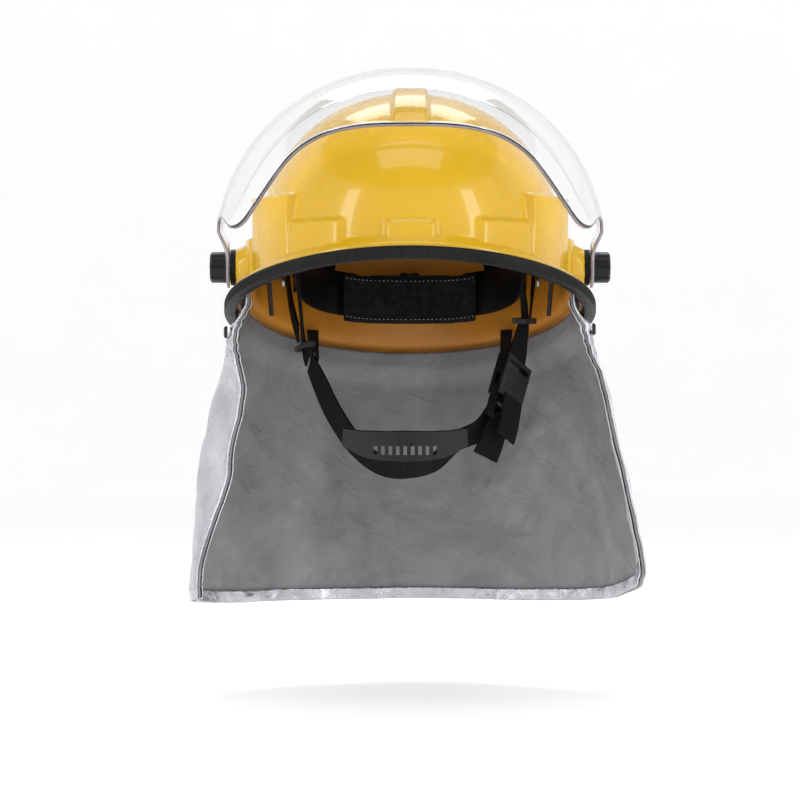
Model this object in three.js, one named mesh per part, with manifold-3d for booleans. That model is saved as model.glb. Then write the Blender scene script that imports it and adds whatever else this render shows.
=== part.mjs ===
// Firefighter helmet: shell with raised visor, head harness, chin strap and neck cape.
// Units are millimetres. +Z is up and the front of the helmet faces -Y. Left and right are as
// seen from the front, so +X is right, on the wearer's left.
// The origin is the middle of the headband opening, level with the visor pivots.
import * as THREE from 'three';
import { mergeVertices } from 'three/addons/utils/BufferGeometryUtils.js';
import Module from 'manifold-3d';

const wasm = await Module();
wasm.setup();

// ---- driving dimensions ----
const DOME = { halfWidth: 112, halfLength: 139, top: 121.5, square: 0.93 };
const SHELL_WALL = 3;
const RIM = { level: -31, slope: 0.2365, sideFlare: 15, endFlare: 7, flareHeight: 8, lip: 6.5 };
const CREST = { halfWidth: 10, rise: 4.5, halfLength: 92, soft: 4 };
const PAD_RISE = 3;
const PAD_SOFT = { turn: 2.5, height: 3 };
const PADS = [
  { from: -7, to: 7, top: 27 },
  { from: 25, to: 44, top: 29 },
  { from: 47, to: 70, top: 48 },
  { from: 75, to: 84, top: 21 },
  { from: 103, to: 122, top: 24 },
  { from: 128, to: 150, top: 6 },
  { from: 168, to: 181, top: -12 },
];
const PIVOT = { y: -18, z: 0, face: 120.7, bossRadius: 12.5, bore: 3.4 };
const TRIM = { height: 8.7, side: 2.2, gap: 0.35, below: 3.2 };
const VISOR = { radius: 138, halfWidth: 136.5, power: 2.1, sheet: 2.2, earFace: 127, earRadius: 14.5 };
const KNOB = { radius: 10.8, inner: 127.4, outer: 138.6 };
const LINER = { gap: 1.4, thick: 10, rings: 5 };
const INNER_DEPTHS = [0.14, 0.28, 0.42, 0.55, 0.68, 0.84, 1, 1.5, 2, 3];
const BAND = { halfWidth: 80, halfLength: 99, thick: 2, height: 32, level: 7, rearPower: 3, end: 160 };
const RATCHET = { y: 97.5, z: -16, pitchRadius: 5, teeth: 10, halfWidth: 33, height: 30, rear: 107 };
const WEB = { width: 20, thick: 1.6 };
const CAPE = { top: 6, edgeTop: 107, edgeBottom: 99, wall: 1.2, gap: 0.45 };

const rad = THREE.MathUtils.degToRad;
const V = (x, y, z) => new THREE.Vector3(x, y, z);
const step = THREE.MathUtils.smoothstep;
const mix = THREE.MathUtils.lerp;

// ---- solids ----
function solidFrom(points, faces) {
  let volume = 0;
  for (const [a, b, c] of faces) {
    volume += points[a].dot(points[b].clone().cross(points[c]));
  }
  const outward = volume < 0 ? faces.map(([a, b, c]) => [a, c, b]) : faces;
  const geometry = new THREE.BufferGeometry();
  const flat = points.flatMap((p) => p.toArray());
  geometry.setAttribute('position', new THREE.Float32BufferAttribute(flat, 3));
  geometry.setIndex(outward.flat());
  return geometry;
}

function quads(faces, rowA, rowB, count, wrap) {
  const last = wrap ? count : count - 1;
  for (let i = 0; i < last; i += 1) {
    const k = (i + 1) % count;
    faces.push([rowA + i, rowA + k, rowB + k], [rowA + i, rowB + k, rowB + i]);
  }
}

// Joins closed sections into a bar with flat ends, or into a ring.
function loft(sections, ring = false) {
  const count = sections[0].length;
  const points = sections.flat();
  const faces = [];
  const spans = ring ? sections.length : sections.length - 1;
  for (let j = 0; j < spans; j += 1) {
    quads(faces, j * count, ((j + 1) % sections.length) * count, count, true);
  }
  if (!ring) {
    const end = (sections.length - 1) * count;
    for (let i = 1; i < count - 1; i += 1) {
      faces.push([0, i + 1, i], [end, end + i, end + i + 1]);
    }
  }
  return solidFrom(points, faces);
}

// Closes an outer and an inner grid of points into a thin-walled sheet.
function sheet(outer, inner) {
  const rows = outer.length;
  const count = outer[0].length;
  const points = [...outer.flat(), ...inner.flat()];
  const half = rows * count;
  const faces = [];
  for (let j = 0; j < rows - 1; j += 1) {
    quads(faces, j * count, (j + 1) * count, count, false);
    quads(faces, half + (j + 1) * count, half + j * count, count, false);
  }
  const last = (rows - 1) * count;
  for (let i = 0; i < count - 1; i += 1) {
    faces.push([i, half + i, half + i + 1], [i, half + i + 1, i + 1]);
    faces.push([last + i, last + i + 1, half + last + i + 1]);
    faces.push([last + i, half + last + i + 1, half + last + i]);
  }
  for (let j = 0; j < rows - 1; j += 1) {
    const a = j * count;
    const b = (j + 1) * count;
    faces.push([a, b, half + b], [a, half + b, half + a]);
    const c = a + count - 1;
    const d = b + count - 1;
    faces.push([c, half + c, half + d], [c, half + d, d]);
  }
  return solidFrom(points, faces);
}

// Closes an outer and an inner bowl, each with a pole and rings round it.
function bowl(outer, inner, outerPole, innerPole) {
  const count = outer[0].length;
  const points = [...outer.flat(), ...inner.flat(), outerPole, innerPole];
  const shift = outer.length * count;
  const poles = points.length - 2;
  const faces = [];
  for (let j = 0; j < outer.length - 1; j += 1) {
    quads(faces, j * count, (j + 1) * count, count, true);
  }
  for (let j = 0; j < inner.length - 1; j += 1) {
    quads(faces, shift + (j + 1) * count, shift + j * count, count, true);
  }
  for (let i = 0; i < count; i += 1) {
    const k = (i + 1) % count;
    faces.push([poles, k, i], [poles + 1, shift + i, shift + k]);
  }
  quads(faces, (outer.length - 1) * count, shift + (inner.length - 1) * count, count, true);
  return solidFrom(points, faces);
}

// Offsets a grid of points along its own normals.
function offsetGrid(grid, distance) {
  const rows = grid.length;
  const count = grid[0].length;
  return grid.map((row, j) => row.map((point, i) => {
    const along = grid[Math.min(j + 1, rows - 1)][i].clone().sub(grid[Math.max(j - 1, 0)][i]);
    const across = row[Math.min(i + 1, count - 1)].clone().sub(row[Math.max(i - 1, 0)]);
    return point.clone().addScaledVector(along.cross(across).normalize(), distance);
  }));
}

function toManifold(geometry) {
  const bare = geometry.clone();
  bare.deleteAttribute('normal');
  bare.deleteAttribute('uv');
  const merged = mergeVertices(bare, 1e-4);
  return new wasm.Manifold(new wasm.Mesh({
    numProp: 3,
    vertProperties: new Float32Array(merged.attributes.position.array),
    triVerts: new Uint32Array(merged.index.array),
  }));
}

function fromManifold(manifold) {
  const mesh = manifold.getMesh();
  const geometry = new THREE.BufferGeometry();
  geometry.setAttribute('position', new THREE.BufferAttribute(new Float32Array(mesh.vertProperties), 3));
  geometry.setIndex(new THREE.BufferAttribute(new Uint32Array(mesh.triVerts), 1));
  return geometry;
}

function cut(geometry, ...tools) {
  return fromManifold(tools.reduce((rest, tool) => rest.subtract(toManifold(tool)), toManifold(geometry)));
}

function join(geometry, ...others) {
  return fromManifold(others.reduce((rest, other) => rest.add(toManifold(other)), toManifold(geometry)));
}

function box(width, depth, height, at) {
  return new THREE.BoxGeometry(width, depth, height).translate(at.x, at.y, at.z);
}

// A cylinder that starts at a point and runs along a direction.
function rod(radius, length, at, along, sides = 24, tip = radius) {
  const geometry = new THREE.CylinderGeometry(tip, radius, length, sides).translate(0, length / 2, 0);
  const turn = new THREE.Quaternion().setFromUnitVectors(V(0, 1, 0), along.clone().normalize());
  return geometry.applyQuaternion(turn).translate(at.x, at.y, at.z);
}

// A flat band along a smooth line. Its faces look along the given normals, spread evenly
// along the line, and its width may change along it in the same way.
function ribbon(points, normals, width, thick, steps) {
  const line = new THREE.CatmullRomCurve3(points, false, 'centripetal');
  const widths = Array.isArray(width) ? width : [width, width];
  const sections = [];
  for (let j = 0; j <= steps; j += 1) {
    const t = j / steps;
    const along = line.getTangent(t);
    const at = line.getPoint(t);
    const face = spread(normals, t, (p, q, k) => p.clone().lerp(q, k));
    face.addScaledVector(along, -face.dot(along)).normalize();
    const across = face.clone().cross(along).multiplyScalar(spread(widths, t, mix) / 2);
    face.multiplyScalar(thick / 2);
    sections.push([[1, 1], [-1, 1], [-1, -1], [1, -1]].map(([a, b]) => (
      at.clone().addScaledVector(across, a).addScaledVector(face, b))));
  }
  return loft(sections);
}

function spread(values, t, blend) {
  const place = t * (values.length - 1);
  const k = Math.min(Math.floor(place), values.length - 2);
  return blend(values[k], values[k + 1], place - k);
}

// Moves a shape made round the origin: its Z goes along a direction and its Y looks along a face.
function placed(geometry, at, along, face) {
  const z = along.clone().normalize();
  const y = face.clone().addScaledVector(z, -face.dot(z)).normalize();
  const x = y.clone().cross(z);
  return geometry.applyMatrix4(new THREE.Matrix4().makeBasis(x, y, z).setPosition(at));
}


// ---- shell ----
const rimHeight = (y) => RIM.level - RIM.slope * y;
const span = (value, from, to, soft) => step(value, from - soft, from) * (1 - step(value, to, to + soft));

function padShare(turn, z) {
  const side = Math.abs(turn);
  return Math.max(...PADS.map((pad) => (
    span(side, pad.from, pad.to, PAD_SOFT.turn) * (1 - step(z, pad.top - PAD_SOFT.height, pad.top)))));
}

// A point of the shell at a turn from the front (degrees). Depth runs 0..1 from the crown down
// the dome, 1..2 down the flare and 2..3 down the lip to the rim.
function shellPoint(turn, depth, wall = 0, detail = true) {
  const sin = Math.sin(rad(turn));
  const cos = Math.cos(rad(turn));
  const base = rimHeight(-(DOME.halfLength + RIM.endFlare) * cos) + RIM.lip + RIM.flareHeight;
  const lean = rad(90 * Math.min(depth, 1));
  const reach = Math.sin(lean) ** DOME.square;
  const rise = Math.max(Math.cos(lean), 0) ** DOME.square;
  const drop = RIM.flareHeight * THREE.MathUtils.clamp(depth - 1, 0, 1) + RIM.lip * Math.max(depth - 2, 0);
  const z = mix(base, DOME.top - wall, rise) - drop;
  const flare = mix(RIM.endFlare, RIM.sideFlare, sin * sin) * step(depth, 1, 2);
  const pad = detail ? padShare(turn, z) : 0;
  const half = (size) => {
    const wallReach = mix((size - wall) * reach, size - wall + PAD_RISE, pad);
    return depth > 1 ? Math.max(wallReach, size - wall + flare) : wallReach;
  };
  const x = half(DOME.halfWidth) * sin;
  const y = -half(DOME.halfLength) * cos;
  const crest = span(x, -CREST.halfWidth, CREST.halfWidth, CREST.soft)
    * span(y, -CREST.halfLength, CREST.halfLength, 3 * CREST.soft) * step(z, 20, 60);
  return V(x, y, z + (detail ? CREST.rise * crest : 0));
}

function shellRows(depths, count, wall, detail) {
  return depths.map((depth) => (
    Array.from({ length: count }, (_, i) => shellPoint(i * 360 / count, depth, wall, detail))));
}

const signedTurn = (turn) => (turn > 180 ? turn - 360 : turn);

function makeShell() {
  const outerDepths = [0.08, 0.2, 0.33, 0.46, 0.57, 0.66, 0.73, 0.8, 0.87, 0.94, 1, 1.5, 2, 3];
  const count = 72;
  const outer = outerDepths.map((depth) => (
    Array.from({ length: count }, (_, i) => shellPoint(signedTurn(i * 360 / count), depth))));
  const inner = shellRows(INNER_DEPTHS, count, SHELL_WALL, false);
  const dome = bowl(outer, inner, V(0, 0, DOME.top + CREST.rise), V(0, 0, DOME.top - SHELL_WALL));
  const bossStart = DOME.halfWidth - SHELL_WALL + 0.5;
  const sides = [-1, 1];
  const bosses = sides.map((side) => rod(PIVOT.bossRadius, PIVOT.face - bossStart,
    V(side * bossStart, PIVOT.y, PIVOT.z), V(side, 0, 0), 36));
  const bores = sides.map((side) => rod(PIVOT.bore, 24,
    V(side * 101, PIVOT.y, PIVOT.z), V(side, 0, 0), 24));
  return cut(join(dome, ...bosses), ...bores);
}

// ---- edge trim: a U-section that grips the rim ----
function makeTrim() {
  const count = 64;
  const sections = [];
  for (let i = 0; i < count; i += 1) {
    const turn = 360 * i / count;
    const rim = shellPoint(turn, 3, 0, false);
    const flare = mix(RIM.endFlare, RIM.sideFlare, Math.sin(rad(turn)) ** 2);
    const out = V(
      Math.sin(rad(turn)) / (DOME.halfWidth + flare),
      -Math.cos(rad(turn)) / (DOME.halfLength + flare), 0).normalize();
    const at = (radial, up) => rim.clone().addScaledVector(out, radial).add(V(0, 0, up));
    const inside = -SHELL_WALL - TRIM.gap - TRIM.side;
    const slotTop = TRIM.height - TRIM.below;
    sections.push([
      at(TRIM.gap + TRIM.side, slotTop - 0.8), at(TRIM.gap + TRIM.side, 0.8 - TRIM.below),
      at(TRIM.gap + TRIM.side - 1.2, -TRIM.below), at(inside + 1.2, -TRIM.below),
      at(inside, 0.8 - TRIM.below), at(inside, slotTop - 0.8), at(inside + 0.8, slotTop),
      at(-SHELL_WALL - TRIM.gap, slotTop), at(-SHELL_WALL - TRIM.gap, -TRIM.gap),
      at(TRIM.gap, -TRIM.gap), at(TRIM.gap, slotTop), at(TRIM.gap + TRIM.side - 0.8, slotTop),
    ]);
  }
  return loft(sections, true);
}

// ---- visor: a clear sheet turned about the pivot axis, with a round ear at each end ----
function visorX(reach) {
  const share = Math.min(reach / VISOR.radius, 1);
  const bulge = VISOR.halfWidth * (1 - share ** VISOR.power) ** (1 / VISOR.power);
  const neck = step(reach, VISOR.earRadius, 2.2 * VISOR.earRadius);
  return mix(VISOR.earFace, bulge, neck);
}

// Front and rear edges of the raised sheet, as elevation angles at a distance from the axis.
const VISOR_ROWS = [
  [34, 64, 116], [39, 58, 123], [46, 46, 128], [55, 33, 129], [67, 21, 127], [80, 19, 122],
  [93, 24.5, 117.5], [105, 32, 113.5], [115, 38.5, 111],
  [124, 41.5, 109.5], [131, 42, 108.5], [136, 41.5, 108],
  [138, 41, 108],
];
const EAR_ROWS = [-14, -11.5, -7, 0, 9, 17, 24];
const VISOR_ACROSS = 10;

function visorHalf(side) {
  const rows = EAR_ROWS.map((z) => {
    const halfWidth = z < 0 ? Math.sqrt(VISOR.earRadius ** 2 - z * z) : VISOR.earRadius;
    return Array.from({ length: VISOR_ACROSS + 1 }, (_, i) => {
      const y = mix(-halfWidth, halfWidth, i / VISOR_ACROSS);
      return V(side * visorX(Math.hypot(y, Math.max(z, 0))), PIVOT.y + y, PIVOT.z + z);
    });
  });
  for (const [reach, front, rear] of VISOR_ROWS) {
    rows.push(Array.from({ length: VISOR_ACROSS + 1 }, (_, i) => {
      const lift = rad(mix(front, rear, i / VISOR_ACROSS));
      return V(side * visorX(reach), PIVOT.y - reach * Math.cos(lift), PIVOT.z + reach * Math.sin(lift));
    }));
  }
  return rows;
}

function makeVisor() {
  const left = visorHalf(-1);
  const right = visorHalf(1).slice(0, -1).reverse();
  const outer = [...left, ...right];
  const body = sheet(outer, offsetGrid(outer, -VISOR.sheet));
  const holes = [-1, 1].map((side) => rod(PIVOT.bore + 0.6, 20,
    V(side * 115, PIVOT.y, PIVOT.z), V(side, 0, 0), 24));
  return cut(body, ...holes);
}

// ---- visor pivots ----
const pivotRod = (side, radius, from, to, sides = 32, tip = radius) => rod(
  radius, to - from, V(side * from, PIVOT.y, PIVOT.z), V(side, 0, 0), sides, tip);

function makePivotWasher(side) {
  const inner = PIVOT.face + 0.3;
  const outer = VISOR.earFace - VISOR.sheet - 0.4;
  const disc = pivotRod(side, PIVOT.bossRadius, inner, outer);
  return cut(disc, pivotRod(side, PIVOT.bore + 0.6, inner - 1, outer + 1));
}

function makePivotBolt(side) {
  const head = pivotRod(side, 6, 99.5, 103.5, 6);
  return join(head, pivotRod(side, PIVOT.bore - 0.4, 103, KNOB.outer - 3, 20));
}

function makeVisorKnob(side) {
  const chamfer = 1.4;
  const body = join(pivotRod(side, KNOB.radius, KNOB.inner, KNOB.outer - chamfer),
    pivotRod(side, KNOB.radius, KNOB.outer - chamfer - 0.01, KNOB.outer, 32, KNOB.radius - chamfer));
  const grooves = [];
  for (let i = 0; i < 8; i += 1) {
    const turn = 2 * Math.PI * i / 8;
    const at = V(side * (KNOB.inner + 1.6), PIVOT.y + Math.cos(turn) * KNOB.radius,
      PIVOT.z + Math.sin(turn) * KNOB.radius);
    grooves.push(rod(1, KNOB.outer, at, V(side, 0, 0), 6));
  }
  return cut(body, pivotRod(side, PIVOT.bore, KNOB.inner - 1, KNOB.outer - 2.4, 20), ...grooves);
}

// ---- head harness ----
function makeLiner() {
  const count = 36;
  const outerWall = SHELL_WALL + LINER.gap;
  const innerWall = outerWall + LINER.thick;
  const depths = INNER_DEPTHS.slice(0, LINER.rings);
  return bowl(shellRows(depths, count, outerWall, false), shellRows(depths, count, innerWall, false),
    V(0, 0, DOME.top - outerWall), V(0, 0, DOME.top - innerWall));
}

const bandHeight = (y) => BAND.level - RIM.slope * y;

// A point on the headband's middle line, moved outward and up by the given amounts.
function bandPoint(turn, out = 0, up = 0) {
  const sin = Math.sin(rad(turn));
  const cos = Math.cos(rad(turn));
  const power = cos < 0 ? 2 / BAND.rearPower : 1;
  const x = BAND.halfWidth * Math.sign(sin) * Math.abs(sin) ** power;
  const y = -BAND.halfLength * Math.sign(cos) * Math.abs(cos) ** power;
  const n = 2 / power;
  const away = V(sin * Math.abs(x / BAND.halfWidth) ** (n - 1) / BAND.halfWidth / Math.abs(sin || 1),
    -cos * Math.abs(y / BAND.halfLength) ** (n - 1) / BAND.halfLength / Math.abs(cos || 1), 0).normalize();
  return V(x, y, bandHeight(y) + up).addScaledVector(away, out);
}

function bandStrip(from, to, out, up, height, thick, count) {
  const sections = [];
  for (let i = 0; i <= count; i += 1) {
    const turn = mix(from, to, i / count);
    const half = height / 2;
    sections.push([[-1, -1], [1, -1], [1, 1], [-1, 1]].map(([side, end]) => (
      bandPoint(turn, out + side * thick / 2, up + end * half))));
  }
  return loft(sections);
}

const makeHeadband = () => bandStrip(-BAND.end, BAND.end, 0, 0, BAND.height, BAND.thick, 60);
const makeBrowPad = () => bandStrip(-72, 72, -BAND.thick / 2 - 0.3 - 1.6, -1, BAND.height - 2, 3.2, 28);
const makeNapePad = () => bandStrip(148, 212, -7.2, -3, 36, 4, 14);

const CROWN = {
  turns: [40, 90, 140],
  width: 18,
  thick: 1.4,
  top: 91,
  stack: 2.7,
  out: 2.2,
  above: 17,
  below: 6,
};

function makeCrownStrap(order) {
  const turn = CROWN.turns[order];
  const ends = [bandPoint(turn, CROWN.out), bandPoint(turn - 180, CROWN.out)];
  const top = CROWN.top + order * CROWN.stack;
  const points = [];
  for (let i = 0; i <= 12; i += 1) {
    const lift = Math.PI * i / 12;
    const side = Math.cos(lift) > 0 ? ends[0] : ends[1];
    const share = Math.abs(Math.cos(lift));
    const rise = Math.max(Math.sin(lift), 0) ** 1.3;
    points.push(V(side.x * share, side.y * share, mix(side.z + CROWN.above, top, rise)));
  }
  points.unshift(ends[0].clone().add(V(0, 0, -CROWN.below)));
  points.push(ends[1].clone().add(V(0, 0, -CROWN.below)));
  const square = (angle) => bandPoint(angle, 1).sub(bandPoint(angle)).setZ(0);
  const facing = points.map((p) => V(p.x, p.y, Math.max(p.z - 30, 0) * 1.2));
  facing.splice(0, 2, square(turn), square(turn));
  facing.splice(-2, 2, square(turn - 180), square(turn - 180));
  return ribbon(points, facing, CROWN.width, CROWN.thick, 28);
}

function makeCrownPad() {
  const profile = [[0, 82], [24, 82], [27, 83.5], [27, 85.5], [24, 87], [0, 87]];
  return new THREE.LatheGeometry(profile.map(([r, z]) => new THREE.Vector2(r, z)), 32).rotateX(Math.PI / 2);
}

// A clip that hangs the headband from the shell wall.
const HANGERS = { left_front: -62, left_rear: -104, right_front: 62, right_rear: 104 };
const HANGER = { width: 14, thick: 2, out: 2.6, rise: 8, span: 14 };

function makeHanger(turn) {
  const foot = bandPoint(turn, HANGER.out);
  const away = bandPoint(turn, HANGER.out + 1).sub(foot).setZ(0).normalize();
  const at = (out, up) => foot.clone().addScaledVector(away, out).add(V(0, 0, up));
  const reach = HANGER.span;
  const points = [at(0, -13), at(0, -4), at(1, HANGER.rise - 4), at(5, HANGER.rise),
    at(reach - 4, HANGER.rise), at(reach, HANGER.rise + 3), at(reach, HANGER.rise + 12)];
  const up = V(0, 0, 1);
  const facing = [away, away, away, up.clone().negate(), up.clone().negate(), away, away]
    .map((p, i) => (i === 3 || i === 4 ? V(away.x * 0.2, away.y * 0.2, -1) : p));
  return ribbon(points, facing, HANGER.width, HANGER.thick, 24);
}

// ---- ratchet size adjuster ----
const TOOTH = { depth: 0.85, root: 0.7, tip: 0.3 };

function makeRatchetHousing() {
  const front = 94.6;
  const middle = V(0, (front + RATCHET.rear) / 2, RATCHET.z);
  const shape = new THREE.Shape();
  const w = RATCHET.halfWidth;
  const h = RATCHET.height / 2;
  shape.moveTo(-w + 6, -h).lineTo(w - 6, -h).absarc(w - 6, -h + 6, 6, -Math.PI / 2, 0);
  shape.lineTo(w, h - 6).absarc(w - 6, h - 6, 6, 0, Math.PI / 2);
  shape.lineTo(-w + 6, h).absarc(-w + 6, h - 6, 6, Math.PI / 2, Math.PI);
  shape.lineTo(-w, -h + 6).absarc(-w + 6, -h + 6, 6, Math.PI, 1.5 * Math.PI);
  const block = new THREE.ExtrudeGeometry(shape, {
    depth: RATCHET.rear - front,
    bevelEnabled: false,
    curveSegments: 5,
  });
  block.rotateX(Math.PI / 2).translate(0, RATCHET.rear, RATCHET.z);
  const channel = box(4 * w, 3.4, 27, V(0, RATCHET.y, middle.z));
  const bore = rod(3.3, 20, V(0, RATCHET.y - 1, middle.z), V(0, 1, 0));
  return cut(block, channel, bore);
}

function makeRatchetKnob() {
  const start = RATCHET.rear + 0.4;
  const axis = V(0, 1, 0);
  const at = (y) => V(0, y, RATCHET.z);
  const shape = new THREE.Shape();
  const lobes = 10;
  for (let i = 0; i <= 60; i += 1) {
    const turn = 2 * Math.PI * i / 60;
    const radius = 16.4 + 0.8 * Math.cos(lobes * turn);
    shape[i ? 'lineTo' : 'moveTo'](radius * Math.cos(turn), radius * Math.sin(turn));
  }
  const grip = new THREE.ExtrudeGeometry(shape, {
    depth: 9,
    bevelEnabled: true,
    bevelSize: 1,
    bevelThickness: 1,
    bevelSegments: 1,
  });
  grip.rotateX(-Math.PI / 2).translate(0, start + 1, RATCHET.z);
  return join(grip, rod(3, RATCHET.rear + 2 - RATCHET.y - 1.7, at(RATCHET.y + 1.7), axis));
}

function makePinion() {
  const { teeth, pitchRadius } = RATCHET;
  const shape = new THREE.Shape();
  const root = pitchRadius - TOOTH.depth - 0.15;
  const tip = pitchRadius + TOOTH.depth;
  for (let i = 0; i < teeth; i += 1) {
    const turn = 2 * Math.PI * (i / teeth) + Math.PI / 2;
    const corners = [[root, TOOTH.root], [tip, TOOTH.tip], [tip, -TOOTH.tip], [root, -TOOTH.root]];
    for (const [radius, half] of corners) {
      const away = turn - Math.asin(half / radius);
      const call = i === 0 && radius === root && half > 0 ? 'moveTo' : 'lineTo';
      shape[call](radius * Math.cos(away), radius * Math.sin(away));
    }
  }
  const gear = new THREE.ExtrudeGeometry(shape, { depth: 2.4, bevelEnabled: false });
  return gear.rotateX(Math.PI / 2).translate(0, RATCHET.y + 1.2, RATCHET.z);
}

// The upper rack belongs to the left end of the headband, the lower one to the right end.
function makeRack(side) {
  const up = -side;
  const pitch = 2 * Math.PI * RATCHET.pitchRadius / RATCHET.teeth;
  const base = RATCHET.pitchRadius + TOOTH.depth + 0.15;
  const shape = new THREE.Shape();
  const inner = 20;
  shape.moveTo(side * 50, up * 13).lineTo(-side * inner, up * 13).lineTo(-side * inner, up * base);
  for (let k = -6; k <= 14; k += 1) {
    const x = (k + 0.5) * pitch * side;
    for (const [shift, reach] of [[-TOOTH.root, base], [-TOOTH.tip, base - 2 * TOOTH.depth],
      [TOOTH.tip, base - 2 * TOOTH.depth], [TOOTH.root, base]]) {
      shape.lineTo(x + side * shift, up * reach);
    }
  }
  shape.lineTo(side * 50, up * base);
  const bar = new THREE.ExtrudeGeometry(shape, { depth: 1.8, bevelEnabled: false });
  return bar.rotateX(Math.PI / 2).translate(0, RATCHET.y + 0.9, RATCHET.z);
}

// ---- chin strap ----
const LEFT_JOIN = V(-73, -20, -55);
const LEFT_BEND = V(-70, -26, -64);
const BUCKLE = {
  mouth: V(64.5, -45, -93),
  along: V(0.26, 0.4, 0.88).normalize(),
  face: V(0.74, -0.62, 0.06),
};
const RIGHT_JOIN = V(79.5, -15, -37);
const OUTWARD = { left: V(-1, -0.12, -0.05), right: V(1, -0.12, -0.05) };
const buckleAt = (up, out = 0, across = 0) => {
  const face = BUCKLE.face.clone().addScaledVector(BUCKLE.along, -BUCKLE.face.dot(BUCKLE.along)).normalize();
  const side = face.clone().cross(BUCKLE.along);
  return BUCKLE.mouth.clone()
    .addScaledVector(BUCKLE.along, up)
    .addScaledVector(face, out)
    .addScaledVector(side, across);
};
const inBuckle = (geometry, up, out = 0, across = 0) => (
  placed(geometry, buckleAt(up, out, across), BUCKLE.along, BUCKLE.face));

const LEG_TOPS = {
  left_front: V(-78, -47, 6),
  left_rear: V(-87, 22, -2),
  right_front: V(78, -47, 6),
  right_rear: V(88, 22, -2),
};

const LEGS = {
  left_front: {
    points: [LEG_TOPS.left_front, V(-76, -36, -24), LEFT_JOIN, LEFT_BEND.clone().lerp(LEFT_JOIN, 0.12)],
    faces: [OUTWARD.left, OUTWARD.left, V(-0.95, -0.3, -0.1)],
    join: 2 / 3,
  },
  left_rear: {
    points: [LEG_TOPS.left_rear, V(-83, 3, -27), LEFT_JOIN.clone().add(V(-4.8, 8, 9))],
    faces: [OUTWARD.left, V(-0.97, -0.2, -0.2)],
  },
  right_front: {
    points: [LEG_TOPS.right_front, V(77.5, -34, -16), RIGHT_JOIN, buckleAt(46), buckleAt(33.5)],
    faces: [OUTWARD.right, OUTWARD.right, V(0.9, -0.45, 0), BUCKLE.face],
    join: 2 / 4,
  },
  right_rear: {
    points: [LEG_TOPS.right_rear, V(85.5, 5, -18), RIGHT_JOIN.clone().add(V(4.8, 9, 10))],
    faces: [OUTWARD.right, V(0.97, -0.2, -0.2)],
  },
};
const makeLeg = (name) => ribbon(LEGS[name].points, LEGS[name].faces, WEB.width, WEB.thick, 16);

// A flat loop round the webbing where the front and rear legs meet.
function makeKeeper(name) {
  const leg = LEGS[name];
  const line = new THREE.CatmullRomCurve3(leg.points, false, 'centripetal');
  const face = spread(leg.faces, leg.join, (p, q, k) => p.clone().lerp(q, k));
  const frame = cut(new THREE.BoxGeometry(30, 10, 4), new THREE.BoxGeometry(27, 8, 9));
  return placed(frame, line.getPoint(leg.join), line.getTangent(leg.join), face);
}

const CHIN_LINE = {
  points: [
    LEFT_BEND.clone().lerp(V(-52.4, -52, -102), 0.06), V(-62, -38, -81), V(-51, -53, -103), V(-36, -59, -124),
    V(-20, -68, -136), V(-3, -72, -139), V(15, -67, -135), V(32, -60, -120), V(47, -55.5, -113),
    buckleAt(-10, -4.8)],
  faces: [V(-0.95, -0.3, -0.1), V(-0.82, -0.52, -0.1), V(-0.7, -0.6, -0.3), V(-0.5, -0.6, -0.55),
    V(0, -0.6, -0.8), V(0.35, -0.6, -0.7), V(0.6, -0.6, -0.5), V(0.74, -0.62, 0.06)],
};
const makeChinWebbing = () => ribbon(CHIN_LINE.points, CHIN_LINE.faces, WEB.width, WEB.thick, 48);

function makeChinCup() {
  const body = ribbon(
    [V(-45, -66, -117), V(-28, -80.5, -122), V(-3.5, -88, -123), V(21, -80.5, -122), V(38, -66, -117)],
    [
      V(-0.85, -0.5, -0.1), V(-0.35, -0.9, -0.25), V(0, -0.97, -0.25),
      V(0.35, -0.9, -0.25), V(0.85, -0.5, -0.1),
    ],
    [12, 19, 21, 19, 12], 3, 28);
  const slots = [];
  for (let i = -4; i <= 4; i += 1) {
    slots.push(box(2.4, 14, 6, V(-3.5 + 5 * i, -84, -126)));
  }
  return cut(body, ...slots);
}

// ---- quick-release buckle ----
const SOCKET = { width: 27, thick: 9.4, length: 31, cavity: 21.4, depth: 19, room: 5.8 };

function makeSocket() {
  const body = new THREE.BoxGeometry(SOCKET.width, SOCKET.thick, SOCKET.length);
  body.translate(0, 0, SOCKET.length / 2);
  const cavity = box(SOCKET.cavity, SOCKET.room, SOCKET.depth + 1, V(0, 0, SOCKET.depth / 2 - 0.5));
  const windows = [-1, 1].map((side) => box(8, 3.6, 9, V(side * 13.5, 0, 12)));
  const slot = box(21.6, 2 * SOCKET.thick, 4, V(0, 0, 25.5));
  const ribs = [9.5, 13.5, 17.5].map((up) => box(17, 0.8, 1.4, V(0, SOCKET.thick / 2, up)));
  return inBuckle(join(cut(body, cavity, ...windows, slot), ...ribs), 0);
}

function makePlug() {
  const outline = box(25, 6.6, 15.4, V(0, 0, -8));
  const frame = cut(outline, box(21, 9, 3.2, V(0, 0, -12.2)), box(21, 9, 2.6, V(0, 0, -6.2)));
  const tongue = box(6, 2.6, 14, V(0, 0, 6));
  return inBuckle(join(frame, tongue), 0);
}

function makeProng(side) {
  const shape = new THREE.Shape();
  shape.moveTo(5.2, 0.3).lineTo(8.4, 0.3).lineTo(8.6, 6).lineTo(10.1, 8).lineTo(9.6, 13.5).lineTo(7.2, 16);
  shape.lineTo(5.8, 14.5).lineTo(6.6, 8);
  const prong = new THREE.ExtrudeGeometry(shape, { depth: 3, bevelEnabled: false });
  prong.rotateX(Math.PI / 2).translate(0, 1.5, 0);
  return inBuckle(side < 0 ? prong.rotateZ(Math.PI) : prong, 0);
}

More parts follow.
